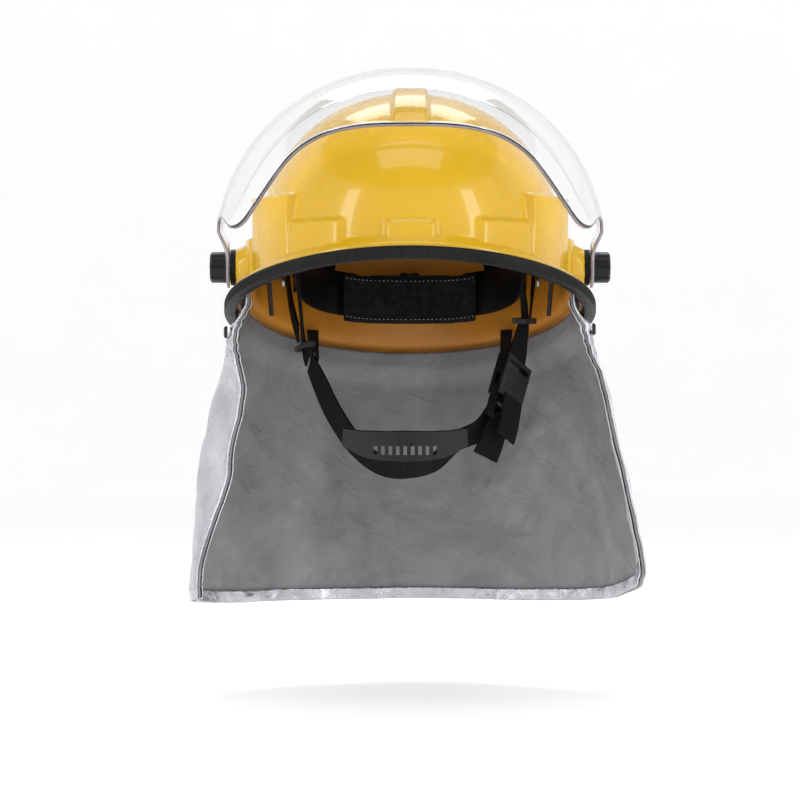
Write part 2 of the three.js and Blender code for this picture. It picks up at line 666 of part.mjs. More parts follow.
function makeTail(order) {
  const lines = [
    [buckleAt(-15, 6.6), V(58.7, -56.4, -113), V(55, -57, -122), V(51, -58, -131)],
    [buckleAt(2, 7.2), buckleAt(-8, 8.6), buckleAt(-20, 10), buckleAt(-29, 10)],
  ];
  const faces = [[BUCKLE.face, V(0.5, -0.85, 0.1)], [BUCKLE.face, BUCKLE.face]];
  return ribbon(lines[order], faces[order], WEB.width, WEB.thick, 10);
}

// ---- strap rivets, hook tabs and cape snaps ----
function makeStrapRivet(name) {
  const top = LEG_TOPS[name];
  const side = Math.sign(top.x);
  return rod(4, 2.4, V(top.x + side * 1.4, top.y, top.z - 6), V(side, -0.1, 0), 20);
}

const HOOKS = { left_front: [-1, -30], right_front: [1, -30], left_rear: [-1, 96], right_rear: [1, 96] };

function makeHookTab(side, y) {
  const inner = { x: DOME.halfWidth - 5, y: DOME.halfLength - 3 };
  const x = side * (inner.x - 7) * Math.sqrt(1 - (y / inner.y) ** 2);
  const away = V(x / inner.x ** 2, y / inner.y ** 2, 0).normalize();
  const top = V(x, y, rimHeight(y) + 13);
  const low = top.clone().addScaledVector(away, -2).add(V(0, 0, -23));
  const tab = ribbon([top, top.clone().lerp(low, 0.5), low], [away, away], [11, 8], 2, 6);
  return cut(tab, rod(2, 12, low.clone().addScaledVector(away, -6).add(V(0, 0, 4.5)), away, 16));
}

// ---- neck cape ----
const CAPE_SIZE = {
  top: { x: 118, y: 136 }, neck: { x: 127, y: 143 }, hem: { x: 157, y: 151 },
  hemLevel: -240, leftCorner: 11, rightCorner: 31,
};

// A point of the cape's outer cloth: along runs 0..1 from the left front edge round the back,
// down runs 0..1 from the top edge to the hem.
function capePoint(along, down, inset = 0) {
  const reach = rad(mix(CAPE.edgeTop, CAPE.edgeBottom, down));
  const turn = mix(-reach, reach, along);
  const sin = Math.sin(turn);
  const cos = Math.cos(turn);
  const topLevel = rimHeight(CAPE_SIZE.top.y * cos) + CAPE.top;
  const corner = along < 0.5 ? CAPE_SIZE.leftCorner : CAPE_SIZE.rightCorner;
  const low = CAPE_SIZE.hemLevel + corner * Math.abs(2 * along - 1) ** 4;
  const z = mix(topLevel, low, down);
  const fallen = topLevel - z;
  const flare = step(fallen, 9, 26);
  const splay = THREE.MathUtils.clamp((fallen - 20) / 180, 0, 1);
  const half = (k) => mix(mix(CAPE_SIZE.top[k], CAPE_SIZE.neck[k], flare), CAPE_SIZE.hem[k], splay);
  const fold = 1 + 0.018 * splay * Math.sin(7.5 * turn + 0.6) + 0.008 * splay * Math.sin(17 * turn + 2);
  return V((half('x') - inset) * fold * sin, (half('y') - inset) * fold * cos, z);
}

function capeGrid(from, to, top, bottom, across, rows, inset) {
  return Array.from({ length: rows + 1 }, (_, j) => (
    Array.from({ length: across + 1 }, (__, i) => (
      capePoint(mix(from, to, i / across), mix(top, bottom, j / rows), inset)))));
}

function capeLayer(inset, wall, from = 0, to = 1, top = 0, bottom = 1, across = 36, rows = 9) {
  return sheet(capeGrid(from, to, top, bottom, across, rows, inset),
    capeGrid(from, to, top, bottom, across, rows, inset + wall));
}

const makeCapeOuter = () => capeLayer(0, CAPE.wall);
const makeCapeLining = () => capeLayer(CAPE.wall + CAPE.gap, CAPE.wall);
const hemInset = 2 * (CAPE.wall + CAPE.gap) + 0.5;
const makeCapeHem = () => capeLayer(hemInset, CAPE.wall, 0, 1, 0.955, 1, 36, 1);
const makeCapeBinding = (side) => (side < 0 ? capeLayer(hemInset, CAPE.wall, 0, 0.014, 0.1, 0.95, 1, 9)
  : capeLayer(hemInset, CAPE.wall, 0.986, 1, 0.1, 0.95, 1, 9));

function makeCapeSnap(side) {
  const at = capePoint(side < 0 ? 0.022 : 0.978, 0.125);
  const away = V(at.x, at.y * 0.6, 0).normalize();
  return rod(4.6, 2.2, at.clone().addScaledVector(away, 0.9), away, 20, 3.6);
}

// ---- materials ----
function finish(color, roughness, metalness = 0, opacity = 1) {
  return new THREE.MeshStandardMaterial({ color, roughness, metalness, opacity, transparent: opacity < 1 });
}

const FINISH = {
  shell: finish(0xebb82a, 0.22),
  rubber: finish(0x1d1d1f, 0.75),
  clear: finish(0xe9edf0, 0.05, 0, 0.3),
  plastic: finish(0x141416, 0.45),
  steel: finish(0x9a9da0, 0.35, 1),
  foam: finish(0x2a2a2c, 0.9),
  webbing: finish(0x17171a, 0.85),
  pad: finish(0x222225, 0.95),
  silver: finish(0xc9ccd0, 0.25, 0.9),
  lining: finish(0x9c9fa2, 0.9),
};

// ---- assembly ----
const helmet = new THREE.Group();

function add(name, geometry, material) {
  const mesh = new THREE.Mesh(geometry, material);
  mesh.name = name;
  helmet.add(mesh);
}

add('shell', makeShell(), FINISH.shell);
add('edge_trim', makeTrim(), FINISH.rubber);
add('visor', makeVisor(), FINISH.clear);
for (const [word, side] of [['left', -1], ['right', 1]]) {
  add(`pivot_washer_${word}`, makePivotWasher(side), FINISH.plastic);
  add(`pivot_bolt_${word}`, makePivotBolt(side), FINISH.steel);
  add(`visor_knob_${word}`, makeVisorKnob(side), FINISH.plastic);
}

add('impact_liner', makeLiner(), FINISH.foam);
add('headband', makeHeadband(), FINISH.plastic);
add('brow_pad', makeBrowPad(), FINISH.pad);
add('nape_pad', makeNapePad(), FINISH.pad);
CROWN.turns.forEach((_, order) => add(`crown_strap_${order + 1}`, makeCrownStrap(order), FINISH.webbing));
add('crown_pad', makeCrownPad(), FINISH.pad);
for (const [name, turn] of Object.entries(HANGERS)) {
  add(`hanger_${name}`, makeHanger(turn), FINISH.plastic);
}
add('ratchet_housing', makeRatchetHousing(), FINISH.plastic);
add('ratchet_knob', makeRatchetKnob(), FINISH.plastic);
add('ratchet_pinion', makePinion(), FINISH.plastic);
add('rack_left', makeRack(-1), FINISH.plastic);
add('rack_right', makeRack(1), FINISH.plastic);

for (const name of Object.keys(LEGS)) {
  add(`strap_${name}`, makeLeg(name), FINISH.webbing);
}
add('keeper_left', makeKeeper('left_front'), FINISH.plastic);
add('keeper_right', makeKeeper('right_front'), FINISH.plastic);
for (const name of Object.keys(LEG_TOPS)) {
  add(`rivet_${name}`, makeStrapRivet(name), FINISH.steel);
}
add('chin_webbing', makeChinWebbing(), FINISH.webbing);
add('chin_cup', makeChinCup(), FINISH.plastic);
add('buckle_socket', makeSocket(), FINISH.plastic);
add('buckle_plug', makePlug(), FINISH.plastic);
add('buckle_prong_left', makeProng(-1), FINISH.plastic);
add('buckle_prong_right', makeProng(1), FINISH.plastic);
add('strap_tail_inner', makeTail(0), FINISH.webbing);
add('strap_tail_outer', makeTail(1), FINISH.webbing);

for (const [name, [side, y]] of Object.entries(HOOKS)) {
  add(`hook_tab_${name}`, makeHookTab(side, y), FINISH.plastic);
}
add('cape_outer', makeCapeOuter(), FINISH.silver);
add('cape_lining', makeCapeLining(), FINISH.lining);
add('cape_hem', makeCapeHem(), FINISH.silver);
for (const [word, side] of [['left', -1], ['right', 1]]) {
  add(`cape_binding_${word}`, makeCapeBinding(side), FINISH.silver);
  add(`cape_snap_${word}`, makeCapeSnap(side), FINISH.plastic);
}

export default helmet;
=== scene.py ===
"""Looks of the firefighter helmet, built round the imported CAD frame. The shape formulas work in
millimetres, in the CAD's own axes, and each mesh is scaled to metres once. The studio and the
materials are in metres."""
import math

import bmesh
import bpy
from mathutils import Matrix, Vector, noise


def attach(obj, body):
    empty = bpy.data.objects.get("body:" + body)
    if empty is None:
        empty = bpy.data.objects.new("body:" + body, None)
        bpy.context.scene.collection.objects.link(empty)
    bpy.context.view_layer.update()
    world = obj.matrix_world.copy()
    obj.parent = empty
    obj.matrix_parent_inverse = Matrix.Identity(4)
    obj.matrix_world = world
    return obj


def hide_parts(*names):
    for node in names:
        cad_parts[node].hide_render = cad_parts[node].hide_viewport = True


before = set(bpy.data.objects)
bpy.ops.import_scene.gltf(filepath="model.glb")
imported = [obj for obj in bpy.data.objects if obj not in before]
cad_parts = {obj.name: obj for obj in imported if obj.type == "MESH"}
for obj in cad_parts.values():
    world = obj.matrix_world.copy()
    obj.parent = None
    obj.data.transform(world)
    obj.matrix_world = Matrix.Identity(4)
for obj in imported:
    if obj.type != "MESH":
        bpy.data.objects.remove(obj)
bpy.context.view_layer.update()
MM = 0.001  # a millimetre in metres
NO_LENGTH = 1e-8  # stands in for a step of no length, so nothing is divided by zero
NEAR_ZERO = 1e-6
TANGENT_STEP = 1e-3
WELD = 1e-6  # CAD corners closer than this are one corner
SHARP_ANGLE = 38  # edges of a refined CAD node that bend more than this stay sharp, in degrees
BEVEL_ANGLE = 32


# ---- small maths ----
def mix(a, b, k):
    return a + (b - a) * k


def clamp(value, low=0.0, high=1.0):
    return max(low, min(high, value))


def smooth(value, low, high):
    """0 below low, 1 above high, and an even S between."""
    k = clamp((value - low) / (high - low))
    return k * k * (3 - 2 * k)


def catmull(points, t):
    """A point on a centripetal Catmull-Rom line, at t from 0 to 1."""
    place = t * (len(points) - 1)
    i = min(int(place), len(points) - 2)
    w = place - i
    p1, p2 = points[i], points[i + 1]
    p0 = points[i - 1] if i > 0 else p1 * 2 - p2
    p3 = points[i + 2] if i + 2 < len(points) else p2 * 2 - p1
    d0 = max((p1 - p0).length, NO_LENGTH) ** 0.5
    d1 = max((p2 - p1).length, NO_LENGTH) ** 0.5
    d2 = max((p3 - p2).length, NO_LENGTH) ** 0.5
    t1 = ((p1 - p0) / d0 - (p2 - p0) / (d0 + d1) + (p2 - p1) / d1) * d1
    t2 = ((p2 - p1) / d1 - (p3 - p1) / (d1 + d2) + (p3 - p2) / d2) * d1
    c2 = (p2 - p1) * 3 - t1 * 2 - t2
    c3 = (p1 - p2) * 2 + t1 + t2
    return p1 + t1 * w + c2 * w * w + c3 * w * w * w


def tangent(points, t):
    ahead = catmull(points, min(t + TANGENT_STEP, 1))
    return (ahead - catmull(points, max(t - TANGENT_STEP, 0))).normalized()


def spread(values, t):
    """The value at t from 0 to 1, between evenly spaced values."""
    place = t * (len(values) - 1)
    i = min(int(place), len(values) - 2)
    return mix(values[i], values[i + 1], place - i)


def vectors(*rows):
    return [Vector(row) for row in rows]


# ---- materials ----
class Paint:
    """A Principled material. Its patterns lie on object coordinates, or on UVs after uv().
    A pattern's scale is in repeats a metre, and a bump's distance is in metres."""

    def __init__(self, name, rough, metal=0.0, **fixed):
        self.material = bpy.data.materials.new(name)
        self.material.use_nodes = True
        self.tree = self.material.node_tree
        self.shader = self.tree.nodes["Principled BSDF"]
        self.shader.inputs["Roughness"].default_value = rough
        self.shader.inputs["Metallic"].default_value = metal
        for socket, value in fixed.items():
            self.shader.inputs[socket.replace("_", " ")].default_value = value
        self.place = self.add("ShaderNodeTexCoord").outputs["Object"]
        self.height = None

    def add(self, kind, **values):
        node = self.tree.nodes.new(kind)
        for key, value in values.items():
            setattr(node, key, value)
        return node

    def link(self, a, b):
        self.tree.links.new(a, b)

    def uv(self):
        self.place = self.add("ShaderNodeTexCoord").outputs["UV"]
        return self

    def noise(self, scale, detail=4.0, rough=0.55, warp=0.0):
        node = self.add("ShaderNodeTexNoise")
        node.inputs["Scale"].default_value = scale
        node.inputs["Detail"].default_value = detail
        node.inputs["Roughness"].default_value = rough
        node.inputs["Distortion"].default_value = warp
        self.link(self.place, node.inputs["Vector"])
        return node.outputs["Fac"]

    def wave(self, scale, axis):
        node = self.add("ShaderNodeTexWave", bands_direction=axis, wave_profile="SIN")
        node.inputs["Scale"].default_value = scale
        self.link(self.place, node.inputs["Vector"])
        return node.outputs["Fac"]

    def cells(self, scale):
        node = self.add("ShaderNodeTexVoronoi", feature="F1")
        node.inputs["Scale"].default_value = scale
        self.link(self.place, node.inputs["Vector"])
        return node.outputs["Distance"]

    def ramp(self, source, *stops):
        node = self.add("ShaderNodeValToRGB")
        ramp = node.color_ramp
        while len(ramp.elements) < len(stops):
            ramp.elements.new(0.5)
        for element, (position, colour) in zip(ramp.elements, stops):
            element.position = position
            element.color = (*colour, 1)
        self.link(source, node.inputs["Fac"])
        return node.outputs["Color"]

    def product(self, a, b):
        node = self.add("ShaderNodeMath", operation="MULTIPLY")
        self.link(a, node.inputs[0])
        self.link(b, node.inputs[1])
        return node.outputs[0]

    def colour(self, source, *stops):
        self.link(self.ramp(source, *stops), self.shader.inputs["Base Color"])
        return self

    def roughness(self, source, low, high):
        node = self.add("ShaderNodeMapRange")
        node.inputs["To Min"].default_value = low
        node.inputs["To Max"].default_value = high
        self.link(source, node.inputs["Value"])
        self.link(node.outputs["Result"], self.shader.inputs["Roughness"])
        return self

    def bump(self, source, distance, strength=1.0):
        node = self.add("ShaderNodeBump")
        node.inputs["Distance"].default_value = distance
        node.inputs["Strength"].default_value = strength
        self.link(source, node.inputs["Height"])
        if self.height:
            self.link(self.height, node.inputs["Normal"])
        self.height = node.outputs["Normal"]
        self.link(self.height, self.shader.inputs["Normal"])
        return self


def grey(value, blue=0.0):
    return (value, value, value + blue)


def make_materials():
    made = {}
    shell = Paint("shell_gloss", 0.3, Coat_Weight=0.6, Coat_Roughness=0.03, Specular_IOR_Level=0.3)
    shell.colour(shell.noise(9, 2), (0.3, (0.62, 0.365, 0.003)), (0.7, (0.68, 0.405, 0.005)))
    shell.roughness(shell.noise(60, 6), 0.22, 0.34)
    shell.bump(shell.noise(260, 2), 0.00006).bump(shell.noise(900, 2), 0.00002)
    made["shell"] = shell
    # Painted shade: the shell's inner face is the outer yellow made darker and more orange, standing in
    # for the shade inside the helmet.
    inside = Paint("shell_inside_painted_shade", 0.45, Coat_Weight=0.15)
    inside.colour(inside.noise(14, 3), (0.3, (0.55, 0.2, 0.012)), (0.7, (0.66, 0.27, 0.016)))
    inside.roughness(inside.noise(90, 5), 0.36, 0.55).bump(inside.noise(420, 3), 0.00012)
    made["shell_inside_painted_shade"] = inside
    rubber = Paint("rubber_trim", 0.5, Specular_IOR_Level=0.2)
    rubber.colour(rubber.noise(70, 5), (0.3, grey(0.002)), (0.75, grey(0.006)))
    rubber.roughness(rubber.noise(160, 4), 0.34, 0.62).bump(rubber.noise(900, 4), 0.00006)
    made["rubber"] = rubber
    clear = Paint("visor_clear", 0.02, IOR=1.46, Transmission_Weight=1.0)
    # Painted shade: the clear sheet's tint darkens towards grazing view, so its outline shows grey.
    facing = clear.add("ShaderNodeLayerWeight")
    facing.inputs["Blend"].default_value = 0.5
    clear.colour(facing.outputs["Facing"], (0.0, (0.975, 0.977, 0.98)), (0.5, (0.95, 0.952, 0.96)),
                 (0.8, (0.86, 0.862, 0.88)), (1.0, (0.6, 0.6, 0.63)))
    clear.roughness(clear.noise(180, 6), 0.008, 0.035)
    made["clear"] = clear
    edge = Paint("visor_edge", 0.12, IOR=1.4, Transmission_Weight=0.35, Coat_Weight=0.6)
    edge.colour(edge.noise(40, 3), (0.3, (0.25, 0.22, 0.27)), (0.7, (0.5, 0.47, 0.52)))
    made["edge"] = edge
    plastic = Paint("black_plastic", 0.36, Specular_IOR_Level=0.32)
    plastic.colour(plastic.noise(60, 5), (0.3, grey(0.002)), (0.75, grey(0.006)))
    plastic.roughness(plastic.noise(240, 5), 0.27, 0.48).bump(plastic.noise(1500, 3), 0.00004)
    made["plastic"] = plastic
    steel = Paint("steel", 0.3, 1.0)
    steel.colour(steel.noise(120, 5), (0.3, grey(0.42)), (0.75, grey(0.6, 0.01)))
    steel.roughness(steel.noise(500, 6), 0.22, 0.42).bump(steel.noise(1800, 3), 0.00002)
    made["steel"] = steel
    foam = Paint("liner_foam", 0.9)
    foam.colour(foam.cells(420), (0.0, grey(0.012)), (0.6, grey(0.035)))
    foam.bump(foam.cells(420), 0.0003).bump(foam.noise(60, 3), 0.0005)
    made["foam"] = foam
    cloth = Paint("pad_cloth", 0.92, Specular_IOR_Level=0.2)
    cloth.colour(cloth.noise(220, 6), (0.3, grey(0.005)), (0.7, grey(0.018)))
    cloth.bump(cloth.cells(1300), 0.00025).bump(cloth.noise(90, 4), 0.0003)
    made["pad"] = cloth
    web = Paint("webbing_weave", 0.75, Specular_IOR_Level=0.12).uv()
    across = web.wave(230, "X")
    along = web.wave(160, "Y")
    weave = web.product(across, along)
    web.colour(weave, (0.0, grey(0.001)), (0.6, grey(0.005)), (1.0, grey(0.015)))
    web.bump(weave, 0.00028).bump(web.noise(300, 4), 0.0001)
    made["web"] = web
    silver = Paint("silver_foil", 0.24, 0.92)
    silver.colour(silver.noise(22, 5), (0.3, (0.4, 0.4, 0.43)), (0.7, (0.66, 0.66, 0.7)))
    silver.roughness(silver.noise(55, 5), 0.15, 0.4)
    silver.bump(silver.noise(80, 5, 0.6, 1.2), 0.0014).bump(silver.cells(1100), 0.00004)
    made["silver"] = silver
    lining = Paint("cape_lining_cloth", 0.62, Sheen_Weight=0.15)
    lining.colour(lining.noise(16, 5, 0.6, 0.8),
                  (0.25, (0.17, 0.172, 0.178)), (0.75, (0.3, 0.302, 0.31)))
    lining.roughness(lining.noise(40, 4), 0.5, 0.72)
    lining.bump(lining.noise(48, 6, 0.6, 1.5), 0.0022).bump(lining.noise(1500, 2), 0.00006)
    made["lining"] = lining
    facing = Paint("cape_facing", 0.6)
    facing.colour(facing.noise(30, 4), (0.3, grey(0.42, 0.01)), (0.7, grey(0.55, 0.01)))
    facing.bump(facing.noise(70, 5, 0.6, 1.0), 0.0008).roughness(facing.noise(80, 4), 0.45, 0.65)
    made["facing"] = facing
    thread = Paint("stitch_thread", 0.7)
    thread.colour(thread.noise(900, 3), (0.3, grey(0.55)), (0.7, grey(0.75)))
    made["thread"] = thread
    floor = Paint("studio_floor", 0.8, Emission_Color=(1, 1, 1, 1), Emission_Strength=0.34)
    floor.colour(floor.noise(3, 2), (0.0, grey(0.9)), (1.0, grey(0.94)))
    made["floor"] = floor
    return {name: paint.material for name, paint in made.items()}


SKIN = make_materials()


# ---- meshes ----
def piece(name, verts, faces, body, skin, nodes=(), extra=(), uvs=None, scale=MM):
    """A mesh piece that rides on a body and stands for CAD nodes."""
    mesh = bpy.data.meshes.new(name)
    mesh.from_pydata([Vector(v) * scale for v in verts], [], faces)
    mesh.validate()
    for key in (skin, *extra):
        mesh.materials.append(SKIN[key])
    if uvs:
        layer = mesh.uv_layers.new(name="weave")
        for loop in mesh.loops:
            layer.data[loop.index].uv = uvs[loop.vertex_index]
    mesh.polygons.foreach_set("use_smooth", [True] * len(mesh.polygons))
    obj = bpy.data.objects.new(name, mesh)
    bpy.context.collection.objects.link(obj)
    if body:
        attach(obj, body)
    if nodes:
        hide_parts(*nodes)
    return obj


def grid_faces(rows, count, wrap=False, flip=False, start=0):
    """Quads between rows of count points, the first of them numbered start."""
    faces = []
    for j in range(rows - 1):
        for i in range(count if wrap else count - 1):
            k = (i + 1) % count
            a, b = start + j * count + i, start + j * count + k
            c, d = start + (j + 1) * count + k, start + (j + 1) * count + i
            faces.append((a, d, c, b) if flip else (a, b, c, d))
    return faces


def end_caps(last, count):
    """The two end faces of a tube whose last ring starts at the point numbered last."""
    return [tuple(range(count - 1, -1, -1)), tuple(last + i for i in range(count))]


def signed_volume(obj):
    """The signed volume: above zero where the faces look out."""
    total = 0.0
    for face in obj.data.polygons:
        p = [obj.data.vertices[k].co for k in face.vertices]
        total += sum(p[0].dot(p[i].cross(p[i + 1])) for i in range(1, len(p) - 1))
    return total


def face_out(obj):
    if signed_volume(obj) < 0:
        obj.data.flip_normals()


def apply_all(obj):
    graph = bpy.context.evaluated_depsgraph_get()
    obj.data = bpy.data.meshes.new_from_object(obj.evaluated_get(graph))
    obj.modifiers.clear()


def bevelled(obj, width, segments):
    bevel = obj.modifiers.new("edge", "BEVEL")
    bevel.width = width * MM
    bevel.segments = segments
    bevel.limit_method = "ANGLE"
    bevel.angle_limit = math.radians(BEVEL_ANGLE)
    bevel.harden_normals = True


def refined(node, body, skin, width=0.4, segments=2, merge=1.5):
    """A CAD node's own shape, with its flats merged where they bend less than merge degrees
    and its edges rounded to width millimetres."""
    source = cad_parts[node]
    work = bmesh.new()
    work.from_mesh(source.data)
    bmesh.ops.transform(work, matrix=source.matrix_world, verts=work.verts)
    bmesh.ops.remove_doubles(work, verts=work.verts, dist=WELD)
    bmesh.ops.dissolve_limit(work, angle_limit=math.radians(merge), verts=work.verts,
                             edges=work.edges)
    mesh = bpy.data.meshes.new(node + "_fine")
    work.to_mesh(mesh)
    work.free()
    mesh.materials.append(SKIN[skin])
    mesh.polygons.foreach_set("use_smooth", [True] * len(mesh.polygons))
    mesh.set_sharp_from_angle(angle=math.radians(SHARP_ANGLE))
    obj = bpy.data.objects.new(node + "_fine", mesh)
    bpy.context.collection.objects.link(obj)
    bevelled(obj, width, segments)
    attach(obj, body)
    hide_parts(node)


# ---- camera, light and floor ----
CAMERA_AT = (-0.007, -2.2, -0.092)
FRAME_WIDTH = 0.56
SENSOR = 36
WORLD_LIGHT = 0.3
# Each lamp's name, place, width, height and power in watts.
LAMPS = [
    ("strip_left", (-1.35, -0.95, 0.15), 0.34, 1.9, 9),
    ("strip_right", (1.35, -0.95, 0.15), 0.34, 1.9, 9),
    ("overhead", (0, -0.5, 1.6), 1.3, 0.8, 6),
    ("behind", (0, 1.2, 1.5), 1.3, 0.6, 11),
]
# The floor is flat out to its radius, then curves up into a wall all round.
FLOOR = {"level": -0.3, "centre": 0.02, "radius": 5.0, "curve": 3.0, "wall": 7, "sides": 96,
         "steps": 12}


def make_studio():
    cam = bpy.data.cameras.new("camera")
    cam.sensor_width = SENSOR
    cam.lens = SENSOR * -CAMERA_AT[1] / FRAME_WIDTH
    holder = bpy.data.objects.new("camera", cam)
    holder.location = CAMERA_AT
    holder.rotation_euler = (math.radians(90), 0, 0)
    bpy.context.collection.objects.link(holder)
    bpy.context.scene.camera = holder
    bpy.context.scene.view_settings.view_transform = "Standard"
    world = bpy.data.worlds.new("studio")
    world.use_nodes = True
    background = world.node_tree.nodes["Background"]
    background.inputs["Color"].default_value = (1, 1, 1, 1)
    background.inputs["Strength"].default_value = WORLD_LIGHT
    bpy.context.scene.world = world
    for name, at, width, height, power in LAMPS:
        light = bpy.data.lights.new(name, "AREA")
        light.shape = "RECTANGLE"
        light.size, light.size_y, light.energy = width, height, power
        lamp = bpy.data.objects.new(name, light)
        lamp.location = at
        lamp.rotation_euler = (-Vector(at)).to_track_quat("-Z", "Y").to_euler()
        bpy.context.collection.objects.link(lamp)


def make_floor():
    level, radius, curve, sides = (FLOOR[key] for key in ("level", "radius", "curve", "sides"))
    profile = [(FLOOR["centre"], level), (radius, level)]
    for k in range(1, FLOOR["steps"] + 1):
        turn = k * math.pi / (2 * FLOOR["steps"])
        profile.append((radius + curve * math.sin(turn), level + curve * (1 - math.cos(turn))))
    profile.append((radius + curve, level + FLOOR["wall"]))
    turns = [2 * math.pi * i / sides for i in range(sides)]
    verts = [(r * math.cos(turn), r * math.sin(turn), z) for r, z in profile for turn in turns]
    faces = grid_faces(len(profile), sides, True, True)
    faces.append(tuple(range(sides)))
    piece("floor", verts, faces, None, "floor", scale=1)


make_studio()
make_floor()


# ---- shell ----
DOME = {"half_width": 112, "half_length": 139, "top": 121.5, "square": 0.93}
WALL = 3
RIM = {"level": -31, "slope": 0.2365, "side": 15, "end": 7, "drop": 8, "lip": 6.5}
CREST = {"half_width": 10, "rise": 4.5, "half_length": 92, "soft": 4, "starts": 20, "full": 60}
PAD_RISE = 3
PAD_SOFT = {"side": 2.5, "top": 3}
# Each raised pad on either side: where it starts and ends in degrees from the front, and its top.
PADS = [(-7, 7, 27), (25, 44, 29), (47, 70, 48), (75, 84, 21), (103, 122, 24), (128, 150, 6),
        (168, 181, -12)]
PIVOT = {"y": -18, "z": 0, "face": 120.7, "boss": 12.5, "soft": 2.5}
# Points round the shell, and rows down each stretch of its outer and inner face.
SHELL_MESH = {"turns": 540, "pole": 0.012, "dome": 120, "flare": 14, "lip": 8, "inner_dome": 44}


def rim_height(y):
    return RIM["level"] - RIM["slope"] * y


def window(value, low, high, soft):
    """1 between low and high, fading to 0 over soft outside them."""
    return smooth(value, low - soft, low) * (1 - smooth(value, high, high + soft))


def pad_share(turn, z):
    side = abs(turn)
    return max(window(side, a, b, PAD_SOFT["side"]) * (1 - smooth(z, top - PAD_SOFT["top"], top))
               for a, b, top in PADS)


def shell_point(turn, depth, wall=0.0, detail=True):
    """A point on the shell, turn degrees from the front. Depth runs 0..1 down the dome, 1..2
    down the flare and 2..3 down the lip. Wall moves it in, and detail adds pads and crest."""
    sin, cos = math.sin(math.radians(turn)), math.cos(math.radians(turn))
    base = rim_height(-(DOME["half_length"] + RIM["end"]) * cos) + RIM["lip"] + RIM["drop"]
    lean = math.radians(90 * min(depth, 1))
    reach = math.sin(lean) ** DOME["square"]
    rise = max(math.cos(lean), 0) ** DOME["square"]
    z = mix(base, DOME["top"] - wall, rise)
    z -= RIM["drop"] * clamp(depth - 1) + RIM["lip"] * max(depth - 2, 0)
    flare = mix(RIM["end"], RIM["side"], sin * sin) * smooth(depth, 1, 2)
    pad = pad_share(turn, z) if detail else 0

    def half(size):
        out = mix((size - wall) * reach, size - wall + PAD_RISE, pad)
        return max(out, size - wall + flare) if depth > 1 else out

    x = half(DOME["half_width"]) * sin
    y = -half(DOME["half_length"]) * cos
    crest = window(x, -CREST["half_width"], CREST["half_width"], CREST["soft"])
    crest *= (window(y, -CREST["half_length"], CREST["half_length"], 3 * CREST["soft"])
              * smooth(z, CREST["starts"], CREST["full"]))
    if detail:
        z += CREST["rise"] * crest
        off = math.hypot(y - PIVOT["y"], z - PIVOT["z"])
        boss = 1 - smooth(off, PIVOT["boss"], PIVOT["boss"] + PIVOT["soft"])
        if boss > 0 and abs(x) < PIVOT["face"]:
            x = mix(x, math.copysign(PIVOT["face"], x), boss)
    return (x, y, z)


def make_shell():
    count, pole = SHELL_MESH["turns"], SHELL_MESH["pole"]
    dome, flare, lip, inner_dome = (SHELL_MESH[key] for key in ("dome", "flare", "lip", "inner_dome"))
    outer = [mix(pole, 1, j / dome) for j in range(dome + 1)]
    outer += [1 + j / flare for j in range(1, flare + 1)] + [2 + j / lip for j in range(1, lip + 1)]
    inner = [mix(pole, 1, j / inner_dome) for j in range(inner_dome + 1)] + [1.25, 1.5, 1.75, 2, 2.5, 3]
    verts = []
    for depths, wall, detail in ((outer, 0, True), (inner, WALL, False)):
        for depth in depths:
            for i in range(count):
                turn = i * 360 / count
                verts.append(shell_point(turn - 360 if turn > 180 else turn, depth, wall, detail))
    start = len(outer) * count
    faces = grid_faces(len(outer), count, True, True)
    skins = [0] * len(faces)
    faces += grid_faces(len(inner), count, True, False, start)
    last_out, last_in = (len(outer) - 1) * count, start + (len(inner) - 1) * count
    for i in range(count):
        k = (i + 1) % count
        faces.append((last_out + i, last_in + i, last_in + k, last_out + k))
    faces.append(tuple(range(count)))
    faces.append(tuple(range(start + count - 1, start - 1, -1)))
    # The inner face and the rim's underside take the darker copy of the yellow, which is painted shade.
    skins += [1] * (len(faces) - len(skins))
    skins[-2] = 0  # the outer face's small centre
    shell = piece("shell_fine", verts, faces, "helmet", "shell", ["shell"],
                  ["shell_inside_painted_shade"])
    shell.data.polygons.foreach_set("material_index", skins)


make_shell()


# ---- edge trim with fine ribs ----
TRIM = {"height": 8.7, "side": 2.2, "gap": 0.35, "below": 3.2, "rib": 0.28}
RIBS = 430
STEPS_A_RIB = 4


